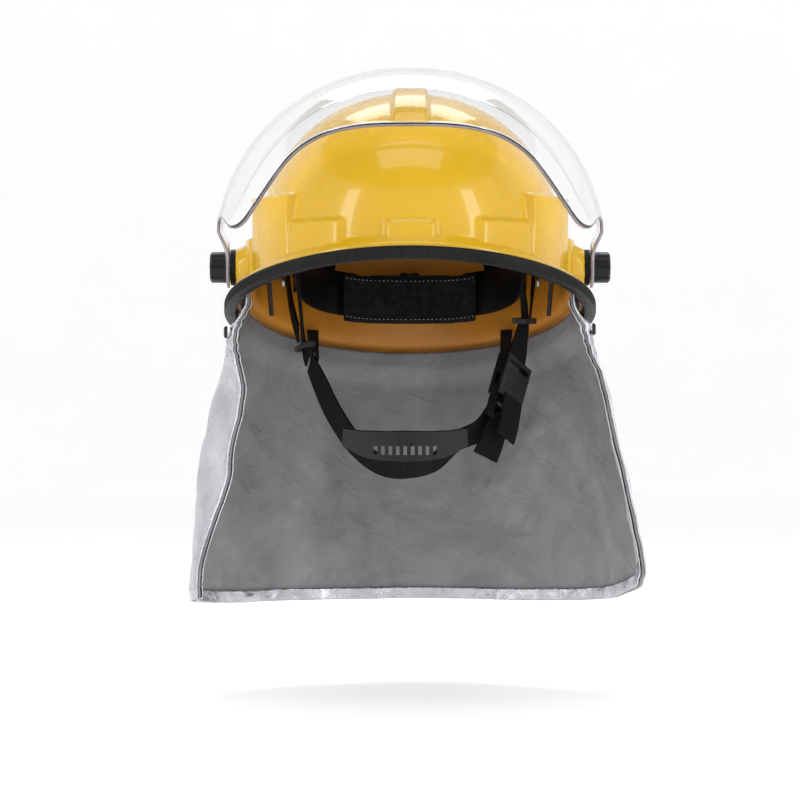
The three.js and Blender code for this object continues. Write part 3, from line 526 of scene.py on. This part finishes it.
def make_trim():
    steps = RIBS * STEPS_A_RIB
    inside = -WALL - TRIM["gap"] - TRIM["side"]
    outside = TRIM["gap"] + TRIM["side"]
    top = TRIM["height"] - TRIM["below"]
    low = -TRIM["below"]
    verts = []
    for i in range(steps):
        turn = 360 * i / steps
        sin, cos = math.sin(math.radians(turn)), math.cos(math.radians(turn))
        rim = Vector(shell_point(turn, 3, 0, False))
        flare = mix(RIM["end"], RIM["side"], sin * sin)
        out = Vector((sin / (DOME["half_width"] + flare), -cos / (DOME["half_length"] + flare), 0))
        out.normalize()
        rib = TRIM["rib"] * math.cos(math.pi * i / 2)
        # The section, down the outside, under the rim, up the inside and round the slot.
        ring = [(outside - 0.15, top - 1.1), (outside + rib, top - 1.9), (outside + rib, 0),
                (outside + rib, 1.5 + low), (outside - 0.5, 0.5 + low), (outside - 1.5, low),
                (inside + 1.5, low), (inside + 0.5, 0.5 + low), (inside, 1.5 + low),
                (inside, top - 1.1), (inside + 0.4, top - 0.3), (inside + 1, top),
                (-WALL - TRIM["gap"], top), (-WALL - TRIM["gap"], -TRIM["gap"]),
                (TRIM["gap"], -TRIM["gap"]), (TRIM["gap"], top), (outside - 1, top),
                (outside - 0.4, top - 0.35)]
        verts += [rim + out * r + Vector((0, 0, up)) for r, up in ring]
    count = len(ring)
    faces = grid_faces(steps, count, True)
    last = (steps - 1) * count
    faces += [(last + i, last + (i + 1) % count, (i + 1) % count, i) for i in range(count)]
    piece("edge_trim_fine", verts, faces, "helmet", "rubber", ["edge_trim"])


make_trim()


# ---- visor and its pivots ----
VISOR = {"radius": 138, "half_width": 136.5, "power": 2.1, "sheet": 2.2, "face": 127, "ear": 14.5,
         "ear_top": 24, "hole": 4}
VISOR_MESH = {"ear_rows": 30, "rows": 131, "across": 44}
# Each row: its reach from the pivot, and the angles above level of its front and rear ends.
VISOR_ROWS = [(34, 64, 116), (39, 58, 123), (46, 46, 128), (55, 33, 129), (67, 21, 127),
              (80, 19, 122), (93, 24.5, 117.5), (105, 32, 113.5), (115, 38.5, 111), (124, 41.5, 109.5),
              (131, 42, 108.5), (136, 41.5, 108), (138, 41, 108)]


def visor_x(reach):
    share = min(reach / VISOR["radius"], 1)
    bulge = VISOR["half_width"] * (1 - share ** VISOR["power"]) ** (1 / VISOR["power"])
    return mix(VISOR["face"], bulge, smooth(reach, VISOR["ear"], 2.2 * VISOR["ear"]))


def visor_rows(side, across):
    """Rows of points from the ear's foot up to the middle of the visor, on one side."""
    rows = []
    for j in range(VISOR_MESH["ear_rows"]):
        z = mix(-VISOR["ear"] + 0.15, VISOR["ear_top"], j / (VISOR_MESH["ear_rows"] - 1))
        half = math.sqrt(VISOR["ear"] ** 2 - z * z) if z < 0 else VISOR["ear"]
        ys = [mix(-half, half, i / across) for i in range(across + 1)]
        rows.append([(side * visor_x(math.hypot(y, max(z, 0))), PIVOT["y"] + y, z) for y in ys])
    points = vectors(*VISOR_ROWS)
    for j in range(VISOR_MESH["rows"]):
        reach, front, rear = catmull(points, j / (VISOR_MESH["rows"] - 1))
        reach = min(reach, VISOR["radius"])
        row = []
        for i in range(across + 1):
            lift = math.radians(mix(front, rear, i / across))
            row.append((side * visor_x(reach), PIVOT["y"] - reach * math.cos(lift),
                        reach * math.sin(lift)))
        rows.append(row)
    return rows


def make_visor():
    across = VISOR_MESH["across"]
    rows = visor_rows(-1, across) + visor_rows(1, across)[:-1][::-1]
    verts = [v for row in rows for v in row]
    faces = []
    for face in grid_faces(len(rows), across + 1):
        centre = sum((Vector(verts[k]) for k in face), Vector()) / 4
        if math.hypot(centre.y - PIVOT["y"], centre.z) > VISOR["hole"]:
            faces.append(face)
    visor = piece("visor_fine", verts, faces, "visor", "clear", ["visor"], ["edge"])
    wall = visor.modifiers.new("wall", "SOLIDIFY")
    wall.thickness = VISOR["sheet"] * MM
    wall.offset = 1
    wall.material_offset_rim = 1
    apply_all(visor)
    visor.visible_shadow = False  # clear sheet: the lamps light the shell through it
    face_out(visor)


make_visor()
for word in ("left", "right"):
    refined(f"pivot_washer_{word}", "helmet", "rubber", 0.35)
    refined(f"pivot_bolt_{word}", "helmet", "steel", 0.3)
    refined(f"visor_knob_{word}", f"knob_{word}", "plastic", 0.45, 3)


# ---- neck cape ----
CAPE = {"top": 6, "edge_top": 107, "edge_bottom": 99, "wall": 1.2, "gap": 0.45}
CAPE_X = {"top": 118, "neck": 127, "hem": 157}
CAPE_Y = {"top": 136, "neck": 143, "hem": 151}
CORNERS = {"left": 11, "right": 31}
# How far the cloth has fallen, in millimetres, where it starts and ends to flare and to splay.
# Each long fold has its height, its count round the cape and its shift.
CAPE_FALL = {"flare": (9, 26), "splay": (20, 200)}
CAPE_FOLDS = ((0.018, 7.5, 0.6), (0.008, 17, 2))
# Below its hooks the cloth bellies out, fullest in the middle on the left and lower on the right.
BELLY = {"starts": (0.15, 0.36), "left": 6, "left_power": 0.8, "left_ends": (0.5, 1),
         "right": 4.5, "right_grows": 4, "right_low": (0.3, 0.9)}
# The left front edge turns in and shows the silver outside.
LEFT_CURL = {"wide": 0.085, "depth": 17, "starts": (0.16, 0.34), "ends": (0.58, 0.93)}
HEM_INSET = 2 * (CAPE["wall"] + CAPE["gap"]) + 0.5
# The heights of the crumpling: long folds, sharp ridges, fine creases and knotted corners, with
# how far all of it stands out and in.
CRUMPLE = {"folds": 3.4, "ridges": 1.7, "fine": 0.45, "knots": 2.0, "out": 0.8, "in": 0.4}
TRIM_WALL = {"edge": 0.7, "patch": 0.5}
# Spans across and down the cape, as shares of its width and height.
BINDING = {"left": (0, 0.014), "right": (1 - 0.034, 1), "down": (0.1, 0.95)}
PATCH = {"left": (0, 0.055), "right": (0.945, 1), "down": (0.03, 0.19)}
EDGE_SEAM = {"left": 0.014 * 0.85, "right": 1 - 0.034 * 0.9,
             "inside": (0.12, 0.94), "outside": (0.06, 0.99)}
HEM = {"level": -240, "starts": 0.955, "seam": 0.962, "seam_steps": 2400}
SEAM_INSET = {"inside": HEM_INSET + 0.2, "outside": -0.1}


def crumple(along, down):
    """How far the hanging cloth stands in from its smooth line, in millimetres."""
    edge = abs(2 * along - 1)
    loose = smooth(down, 0.06, 0.3)
    at = Vector((along * 9, down * 3.4, 0.7))
    folds = noise.noise(Vector((along * 6.5, down * 0.8, 3.1))) * CRUMPLE["folds"]
    ridges = 1 - abs(noise.noise(at * 1.5)) * 2.4
    ridges *= 1 - abs(noise.noise(at * 0.9 + Vector((4, 2, 1))) * 1.6)
    fine = (1 - abs(noise.noise(at * 3.4)) * 3) * CRUMPLE["fine"]
    corner = smooth(edge, 0.86, 0.97) * (1 - smooth(down, 0.16, 0.34))
    knot = 1 - abs(noise.noise(Vector((along * 60, down * 22, 2.2)))) * 3.2
    knot = knot * CRUMPLE["knots"] * corner
    return loose * (folds + CRUMPLE["ridges"] * ridges + fine - CRUMPLE["out"]) + knot + CRUMPLE["in"]


def cape_point(along, down, inset=0.0):
    """A point on the cape: along runs 0..1 from the left front edge round the back, and down
    0..1 from the top to the hem."""
    reach = math.radians(mix(CAPE["edge_top"], CAPE["edge_bottom"], down))
    turn = mix(-reach, reach, along)
    sin, cos = math.sin(turn), math.cos(turn)
    top = rim_height(CAPE_Y["top"] * cos) + CAPE["top"]
    corner = CORNERS["left"] if along < 0.5 else CORNERS["right"]
    z = mix(top, HEM["level"] + corner * abs(2 * along - 1) ** 4, down)
    fallen = top - z
    flare = smooth(fallen, *CAPE_FALL["flare"])
    start, end = CAPE_FALL["splay"]
    splay = clamp((fallen - start) / (end - start))
    fold = 1
    for height, count, shift in CAPE_FOLDS:
        fold += height * splay * math.sin(count * turn + shift)
    inward = inset + crumple(along, down) * flare

    def half(sizes):
        return mix(mix(sizes["top"], sizes["neck"], flare), sizes["hem"], splay) - inward

    hang = smooth(down, *BELLY["starts"])
    if sin < 0:
        full = math.sin(math.pi * down) ** BELLY["left_power"]
        belly = hang * (BELLY["left"] * full - BELLY["left"] * smooth(down, *BELLY["left_ends"]))
    else:
        belly = hang * (BELLY["right"] + BELLY["right_grows"] * smooth(down, *BELLY["right_low"]))
    turned = smooth(LEFT_CURL["wide"] - along, 0, LEFT_CURL["wide"])
    turned *= (smooth(down, *LEFT_CURL["starts"]) * (1 - smooth(down, *LEFT_CURL["ends"]))
               * LEFT_CURL["depth"])
    x = (half(CAPE_X) * fold + belly * sin * sin) * sin + turned
    return (x, half(CAPE_Y) * fold * cos, z)


def cape_sheet(name, skin, node, inset, across=300, rows=96, box=(0, 1, 0, 1), wall=CAPE["wall"]):
    """A layer of the cape, or the part of one in a box of along and down: left, right, top, bottom."""
    left, right, top, bottom = box
    verts = [cape_point(mix(left, right, i / across), mix(top, bottom, j / rows), inset)
             for j in range(rows + 1) for i in range(across + 1)]
    obj = piece(name, verts, grid_faces(rows + 1, across + 1), "helmet", skin, node)
    depth = obj.modifiers.new("cloth", "SOLIDIFY")
    depth.thickness = wall * MM
    depth.offset = 0
    apply_all(obj)
    face_out(obj)
    return obj


def stitches(name, path, pitch=3.2, length=2.1, width=0.42):
    """Short raised stitches along a line of (point, outward) pairs, in millimetres."""
    verts, faces = [], []
    travelled, due = 0.0, 0.0
    for (a, out), (b, _) in zip(path, path[1:]):
        step = (b - a).length
        travelled += step
        if travelled < due or step < NEAR_ZERO:
            continue
        due = travelled + pitch
        run = (b - a).normalized()
        side = run.cross(out).normalized()
        n = len(verts)
        verts += [a - run * length / 2, a + run * length / 2, a + side * width, a - side * width,
                  a + out * width, a - out * width]
        faces += [(n, n + 2, n + 4), (n + 2, n + 1, n + 4), (n + 1, n + 3, n + 4), (n + 3, n, n + 4),
                  (n + 2, n, n + 5), (n + 1, n + 2, n + 5), (n + 3, n + 1, n + 5), (n, n + 3, n + 5)]
    faces = [tuple(reversed(f)) for f in faces]
    return piece(name, verts, faces, "helmet", "thread")


def cape_seam(name, face, along, down, steps=900):
    """Stitches on the cape's inside or outside face, along a line given by two functions of 0..1."""
    path = []
    for i in range(steps + 1):
        at = Vector(cape_point(along(i / steps), down(i / steps), SEAM_INSET[face]))
        out = Vector((at.x, at.y, 0)).normalized() * (-1 if face == "inside" else 1)
        path.append((at, out))
    return stitches(name, path)


def make_cape():
    wall, gap, trim = CAPE["wall"], CAPE["gap"], TRIM_WALL["edge"]
    inset = HEM_INSET + wall / 2
    outer = cape_sheet("cape_outer_fine", "silver", ["cape_outer"], wall / 2)
    lining = cape_sheet("cape_lining_fine", "lining", ["cape_lining"],
                        wall + gap + wall / 2)
    pieces = [cape_sheet("cape_hem_fine", "silver", ["cape_hem"], inset, 300, 8,
                         (0, 1, HEM["starts"], 1), trim)]
    for word, skin in (("left", "silver"), ("right", "facing")):
        pieces.append(cape_sheet(f"cape_binding_{word}_fine", skin,
                                 [f"cape_binding_{word}"], inset, 10, 110,
                                 (*BINDING[word], *BINDING["down"]), trim))
        pieces.append(cape_sheet(f"cape_corner_{word}", "silver", [],
                                 SEAM_INSET["inside"], 36, 30, (*PATCH[word], *PATCH["down"]),
                                 TRIM_WALL["patch"]))
        for face, name in (("inside", "edge"), ("outside", "outside")):
            pieces.append(cape_seam(f"cape_{name}_stitches_{word}", face, lambda k: EDGE_SEAM[word],
                                    lambda k: mix(*EDGE_SEAM[face], k)))
    for face in ("inside", "outside"):
        pieces.append(cape_seam(f"cape_hem_stitches_{face}", face, lambda k: k,
                                lambda k: HEM["seam"], HEM["seam_steps"]))


make_cape()
for word in ("left", "right"):
    refined(f"cape_snap_{word}", "helmet", "plastic", 0.35, 3)
for place in ("left_front", "right_front", "left_rear", "right_rear"):
    refined(f"hook_tab_{place}", "helmet", "plastic", 0.4, 3)
    refined(f"hanger_{place}", "helmet", "plastic", 0.35)
    refined(f"rivet_{place}", "helmet", "steel", 0.5, 3)


# ---- webbing ----
WEB = {"width": 20, "thick": 1.6}
# The web's face narrows to this share, and is lower than the raised band along each side.
SELVAGE = {"face": 0.96, "starts": 0.8, "lower": 0.88}


def ribbon(name, points, facing, body, node, steps=150, width=WEB["width"], thick=WEB["thick"]):
    """A woven band with rounded edges and a slightly raised selvage along each side. It runs
    along the points, in millimetres, and its face turns evenly through the facing directions."""
    section = []
    for side in (1, -1):
        for k in range(7):
            share = mix(1, -1, k / 6) * side
            lift = 1.0 if abs(share) > SELVAGE["starts"] else SELVAGE["lower"]
            section.append((share * SELVAGE["face"], side * lift))
        section.append((-side, 0))
    verts, uvs, travelled, before = [], [], 0.0, None
    for j in range(steps + 1):
        t = j / steps
        at = catmull(points, t)
        run = tangent(points, t)
        travelled += (at - before).length * MM if before else 0
        before = at
        face = spread(facing, t)
        face = (face - run * face.dot(run)).normalized()
        across = face.cross(run) * width / 2
        verts += [at + across * a + face * (thick / 2 * b) for a, b in section]
        uvs += [(a * width / 2 * MM, travelled) for a, b in section]
    count = len(section)
    faces = grid_faces(steps + 1, count, True) + end_caps(steps * count, count)
    obj = piece(name, verts, faces, body, "web", node, uvs=uvs)
    obj.data.set_sharp_from_angle(angle=math.radians(60))
    face_out(obj)


LEFT_JOIN, LEFT_BEND, RIGHT_JOIN = vectors((-73, -20, -55), (-70, -26, -64), (79.5, -15, -37))
MOUTH = Vector((64.5, -45, -93))
ALONG = Vector((0.26, 0.4, 0.88)).normalized()
FACE = Vector((0.74, -0.62, 0.06))
OUT_LEFT, OUT_RIGHT = vectors((-1, -0.12, -0.05), (1, -0.12, -0.05))


def buckle_at(up, out=0.0):
    """A point up along the buckle from its mouth, and out from its middle plane."""
    face = (FACE - ALONG * FACE.dot(ALONG)).normalized()
    return MOUTH + ALONG * up + face * out


# The middle line of each strap leg, and the directions that its face looks in.
LEGS = {
    "left_front": ([Vector((-78, -47, 6)), Vector((-76, -36, -24)), LEFT_JOIN,
                    LEFT_BEND.lerp(LEFT_JOIN, 0.12)],
                   [OUT_LEFT, OUT_LEFT, Vector((-0.95, -0.3, -0.1))]),
    "left_rear": ([Vector((-87, 22, -2)), Vector((-83, 3, -27)), LEFT_JOIN + Vector((-4.8, 8, 9))],
                  [OUT_LEFT, Vector((-0.97, -0.2, -0.2))]),
    "right_front": ([Vector((78, -47, 6)), Vector((77.5, -34, -16)), RIGHT_JOIN, buckle_at(46),
                     buckle_at(33.5)],
                    [OUT_RIGHT, OUT_RIGHT, Vector((0.9, -0.45, 0)), FACE]),
    "right_rear": ([Vector((88, 22, -2)), Vector((85.5, 5, -18)), RIGHT_JOIN + Vector((4.8, 9, 10))],
                   [OUT_RIGHT, Vector((0.97, -0.2, -0.2))]),
}
for place, (line, facing) in LEGS.items():
    ribbon(f"strap_{place}_fine", line, facing, "helmet", [f"strap_{place}"], 110)

CHIN_LINE = [LEFT_BEND.lerp(Vector((-52.4, -52, -102)), 0.06)]
CHIN_LINE += vectors((-62, -38, -81), (-51, -53, -103), (-36, -59, -124), (-20, -68, -136),
                     (-3, -72, -139), (15, -67, -135), (32, -60, -120), (47, -55.5, -113))
CHIN_LINE.append(buckle_at(-10, -4.8))
CHIN_FACING = vectors((-0.95, -0.3, -0.1), (-0.82, -0.52, -0.1), (-0.7, -0.6, -0.3), (-0.5, -0.6, -0.55),
                      (0, -0.6, -0.8), (0.35, -0.6, -0.7), (0.6, -0.6, -0.5), (0.74, -0.62, 0.06))
ribbon("chin_webbing_fine", CHIN_LINE, CHIN_FACING, "chin_strap", ["chin_webbing"], 300)
TAILS = {
    "inner": ([buckle_at(-15, 6.6), *vectors((58.7, -56.4, -113), (55, -57, -122), (51, -58, -131))],
              [FACE, Vector((0.5, -0.85, 0.1))]),
    "outer": ([buckle_at(2, 7.2), buckle_at(-8, 8.6), buckle_at(-20, 10), buckle_at(-29, 10)],
              [FACE, FACE]),
}
for place, (line, facing) in TAILS.items():
    body = "chin_strap" if place == "inner" else "helmet"
    ribbon(f"strap_tail_{place}_fine", line, facing, body, [f"strap_tail_{place}"], 70)
refined("chin_cup", "chin_strap", "plastic", 0.3, 2, 0.01)
refined("buckle_plug", "chin_strap", "plastic", 0.45, 3)
refined("buckle_socket", "helmet", "plastic", 0.55, 3)
for word in ("left", "right"):
    refined(f"buckle_prong_{word}", f"prong_{word}", "plastic", 0.3)
    refined(f"keeper_{word}", "helmet", "plastic", 0.4)


# ---- head harness ----
BAND = {"half_width": 80, "half_length": 99, "thick": 2, "height": 32, "level": 7, "rear_power": 3,
        "end": 160}
# A strip thins at its two ends, and its channels are narrow dips across it.
STRIP_END = {"power": 40, "least": 0.02, "height": 0.97}
CHANNEL = {"depth": 0.28, "sharp": 24}


def band_point(turn, out=0.0, up=0.0):
    """A point on the headband's middle line, turn degrees from the front, moved out and up."""
    sin, cos = math.sin(math.radians(turn)), math.cos(math.radians(turn))
    power = 2 / BAND["rear_power"] if cos < 0 else 1
    x = BAND["half_width"] * math.copysign(abs(sin) ** power, sin)
    y = -BAND["half_length"] * math.copysign(abs(cos) ** power, cos)
    n = 2 / power

    def outward(share, place, half):
        return share * abs(place / half) ** (n - 1) / half / max(abs(share), NEAR_ZERO)

    away = Vector((outward(sin, x, BAND["half_width"]), outward(-cos, y, BAND["half_length"]), 0))
    away.normalize()
    return Vector((x, y, BAND["level"] - RIM["slope"] * y + up)) + away * out


def band_piece(name, span, out, up, height, thick, skin, node, steps, ring, channels=0):
    """A moulded strip along the headband. Ring gives the section as (share of half thickness,
    share of half height), and channels presses grooves across it."""
    verts = []
    for i in range(steps + 1):
        share = i / steps
        turn = mix(*span, share)
        end = math.sqrt(max(1 - abs(2 * share - 1) ** STRIP_END["power"], STRIP_END["least"]))
        dent = 1
        if channels:
            wave = max(math.cos(2 * math.pi * share * channels), 0)
            dent = 1 - CHANNEL["depth"] * wave ** CHANNEL["sharp"]
        tall = mix(STRIP_END["height"], 1, end)
        verts += [band_point(turn, out + a * thick / 2 * dent * end, up + b * height / 2 * tall)
                  for a, b in ring]
    count = len(ring)
    faces = grid_faces(steps + 1, count, True) + end_caps(steps * count, count)
    obj = piece(name, verts, faces, "helmet", skin, node)
    face_out(obj)
    return obj


SOFT = {"points": 36, "thick_power": 3, "tall_power": 9}


def soft_section():
    """A pad's section: full and nearly square, with rounded corners."""
    ring = []
    for k in range(SOFT["points"]):
        a = 2 * math.pi * k / SOFT["points"]
        ring.append((math.copysign(abs(math.cos(a)) ** (2 / SOFT["thick_power"]), math.cos(a)),
                     math.copysign(abs(math.sin(a)) ** (2 / SOFT["tall_power"]), math.sin(a))))
    return ring


# The headband's section, with two sunk panels along its outer face.
RIBBED = [(-1, -0.95), (-0.6, -1), (0.6, -1), (1, -0.95), (1, -0.86), (0.45, -0.82), (0.45, -0.06),
          (1, -0.02), (1, 0.02), (0.45, 0.06), (0.45, 0.82), (1, 0.86), (1, 0.95), (0.6, 1), (-0.6, 1),
          (-1, 0.95)]
band_piece("headband_fine", (-BAND["end"], BAND["end"]), 0, 0, BAND["height"], BAND["thick"], "plastic",
           ["headband"], 240, RIBBED).data.set_sharp_from_angle(angle=math.radians(40))


CLOTH = {"pressure": 4.0, "quality": 4, "steps": 14}


def puff(obj, cap):
    """Cloth pressure swells a pad, with each point's move capped, and the result is kept."""
    start = [v.co.copy() for v in obj.data.vertices]
    cloth = obj.modifiers.new("cloth", "CLOTH")
    cloth.settings.use_pressure = True
    cloth.settings.uniform_pressure_force = CLOTH["pressure"]
    cloth.settings.effector_weights.gravity = 0
    cloth.settings.quality = CLOTH["quality"]
    scene = bpy.context.scene
    for step in range(1, CLOTH["steps"] + 1):
        scene.frame_set(step)
    apply_all(obj)
    for vertex, before in zip(obj.data.vertices, start):
        move = vertex.co - before
        if move.length > cap * MM:
            vertex.co = before + move.normalized() * cap * MM
    obj.data.polygons.foreach_set("use_smooth", [True] * len(obj.data.polygons))
    scene.frame_set(1)


brow = band_piece("brow_pad_fine", (-71.5, 71.5), -BAND["thick"] / 2 - 1.9, -1, BAND["height"] - 3.4,
                  2.6, "pad", ["brow_pad"], 150, soft_section(), 9)
nape = band_piece("nape_pad_fine", (148.6, 211.4), -7.2, -3, 34.6,
                  3.2, "pad", ["nape_pad"], 80, soft_section(), 5)


# The crown pad's edge is drawn in at its tufts, more so further out.
TUFTS = {"count": 8, "depth": 0.03, "sharp": 10, "starts": 12, "full": 24}


def make_crown_pad():
    profile = [(0.01, 82.25), (20, 82.2), (24, 82.4), (26, 83.2), (26.7, 84.4), (26, 85.8), (23.6, 86.6),
               (18, 86.75), (0.01, 86.75)]
    count = 72
    verts = []
    for r, z in profile:
        for i in range(count):
            a = 2 * math.pi * i / count
            drawn = max(math.cos(TUFTS["count"] * a), 0) ** TUFTS["sharp"]
            tuft = 1 - TUFTS["depth"] * drawn * smooth(r, TUFTS["starts"], TUFTS["full"])
            verts.append((r * math.cos(a) * tuft, r * math.sin(a) * tuft, z))
    faces = grid_faces(len(profile), count, True) + end_caps((len(profile) - 1) * count, count)
    obj = piece("crown_pad_fine", verts, faces, "helmet", "pad", ["crown_pad"])
    face_out(obj)
    return obj


crown = make_crown_pad()
for pad, cap, fill in ((brow, 0.25, 0.7), (nape, 0.3, 0.6), (crown, 0.2, 0.6)):
    puff(pad, cap)


def pad_stitches(name, span, out, up, level):
    path = []
    for i in range(601):
        turn = mix(*span, i / 600)
        at = band_point(turn, out, up + level)
        away = band_point(turn, out + 1, up + level) - at
        path.append((at, -away.normalized()))
    stitches(name, path, 3.0, 1.9, 0.3)


pad_stitches("brow_pad_stitches_upper", (-69, 69), -4.5, -1, 11.4)
pad_stitches("brow_pad_stitches_lower", (-69, 69), -4.5, -1, -11.4)
pad_stitches("nape_pad_stitches_upper", (150, 210), -9.1, -3, 14)
pad_stitches("nape_pad_stitches_lower", (150, 210), -9.1, -3, -14)

CROWN = {"turns": (40, 90, 140), "width": 18, "thick": 1.4, "top": 91, "stack": 2.7, "out": 2.2,
         "above": 17, "below": 6, "arch": 1.3, "faces_up_from": 30, "faces_up": 1.2}
for order, turn in enumerate(CROWN["turns"]):
    ends = [band_point(turn, CROWN["out"]), band_point(turn - 180, CROWN["out"])]
    top = CROWN["top"] + order * CROWN["stack"]
    line = []
    for i in range(13):
        lift = math.pi * i / 12
        side = ends[0] if math.cos(lift) > 0 else ends[1]
        share = abs(math.cos(lift))
        line.append(Vector((side.x * share, side.y * share,
                            mix(side.z + CROWN["above"], top, max(math.sin(lift), 0) ** CROWN["arch"]))))
    line.insert(0, ends[0] - Vector((0, 0, CROWN["below"])))
    line.append(ends[1] - Vector((0, 0, CROWN["below"])))
    facing = [Vector((p.x, p.y, max(p.z - CROWN["faces_up_from"], 0) * CROWN["faces_up"])) for p in line]
    for k, angle in ((0, turn), (1, turn), (-2, turn - 180), (-1, turn - 180)):
        facing[k] = band_point(angle, 1) - band_point(angle)
    ribbon(f"crown_strap_{order + 1}_fine", line, facing, "helmet", [f"crown_strap_{order + 1}"], 180,
           CROWN["width"], CROWN["thick"])


# The liner's outer and inner face lie this far in from the shell's. Channels cut its inner face
# along spokes and round one ring.
LINER = {"turns": 216, "rows": 60, "pole": 0.015, "edge": 0.68, "outer": 1.4, "inner": 11.4,
         "channel": 1.6, "spokes": 8, "spoke_sharp": 30, "spokes_start": (0.1, 0.16),
         "ring": 0.36, "ring_width": 0.012}


def make_liner():
    """The foam liner, with moulded channels between its blocks."""
    count = LINER["turns"]
    depths = [mix(LINER["pole"], LINER["edge"], j / LINER["rows"]) for j in range(LINER["rows"] + 1)]
    verts = []
    for face in ("outer", "inner"):
        for depth in depths:
            for i in range(count):
                turn = 360 * i / count
                spoke = max(math.cos(math.radians(turn * LINER["spokes"])), 0) ** LINER["spoke_sharp"]
                ring = math.exp(-((depth - LINER["ring"]) / LINER["ring_width"]) ** 2)
                channel = max(spoke * smooth(depth, *LINER["spokes_start"]), ring)
                dip = LINER["channel"] * channel if face == "inner" else 0
                verts.append(shell_point(turn, depth, WALL + LINER[face] - dip, False))
    start = len(depths) * count
    faces = grid_faces(len(depths), count, True, True)
    faces += grid_faces(len(depths), count, True, False, start)
    last = start - count
    for i in range(count):
        k = (i + 1) % count
        faces.append((last + i, 2 * start - count + i, 2 * start - count + k, last + k))
    faces += [tuple(range(count)), tuple(range(start + count - 1, start - 1, -1))]
    obj = piece("impact_liner_fine", verts, faces, "helmet", "foam", ["impact_liner"])
    obj.data.set_sharp_from_angle(angle=math.radians(50))


make_liner()

# ---- ratchet adjuster ----
refined("ratchet_housing", "helmet", "plastic", 0.7, 3)
refined("ratchet_knob", "ratchet", "rubber", 0.5, 3)
refined("ratchet_pinion", "ratchet", "plastic", 0.1)
refined("rack_left", "rack_left", "plastic", 0.12)
refined("rack_right", "rack_right", "plastic", 0.12)
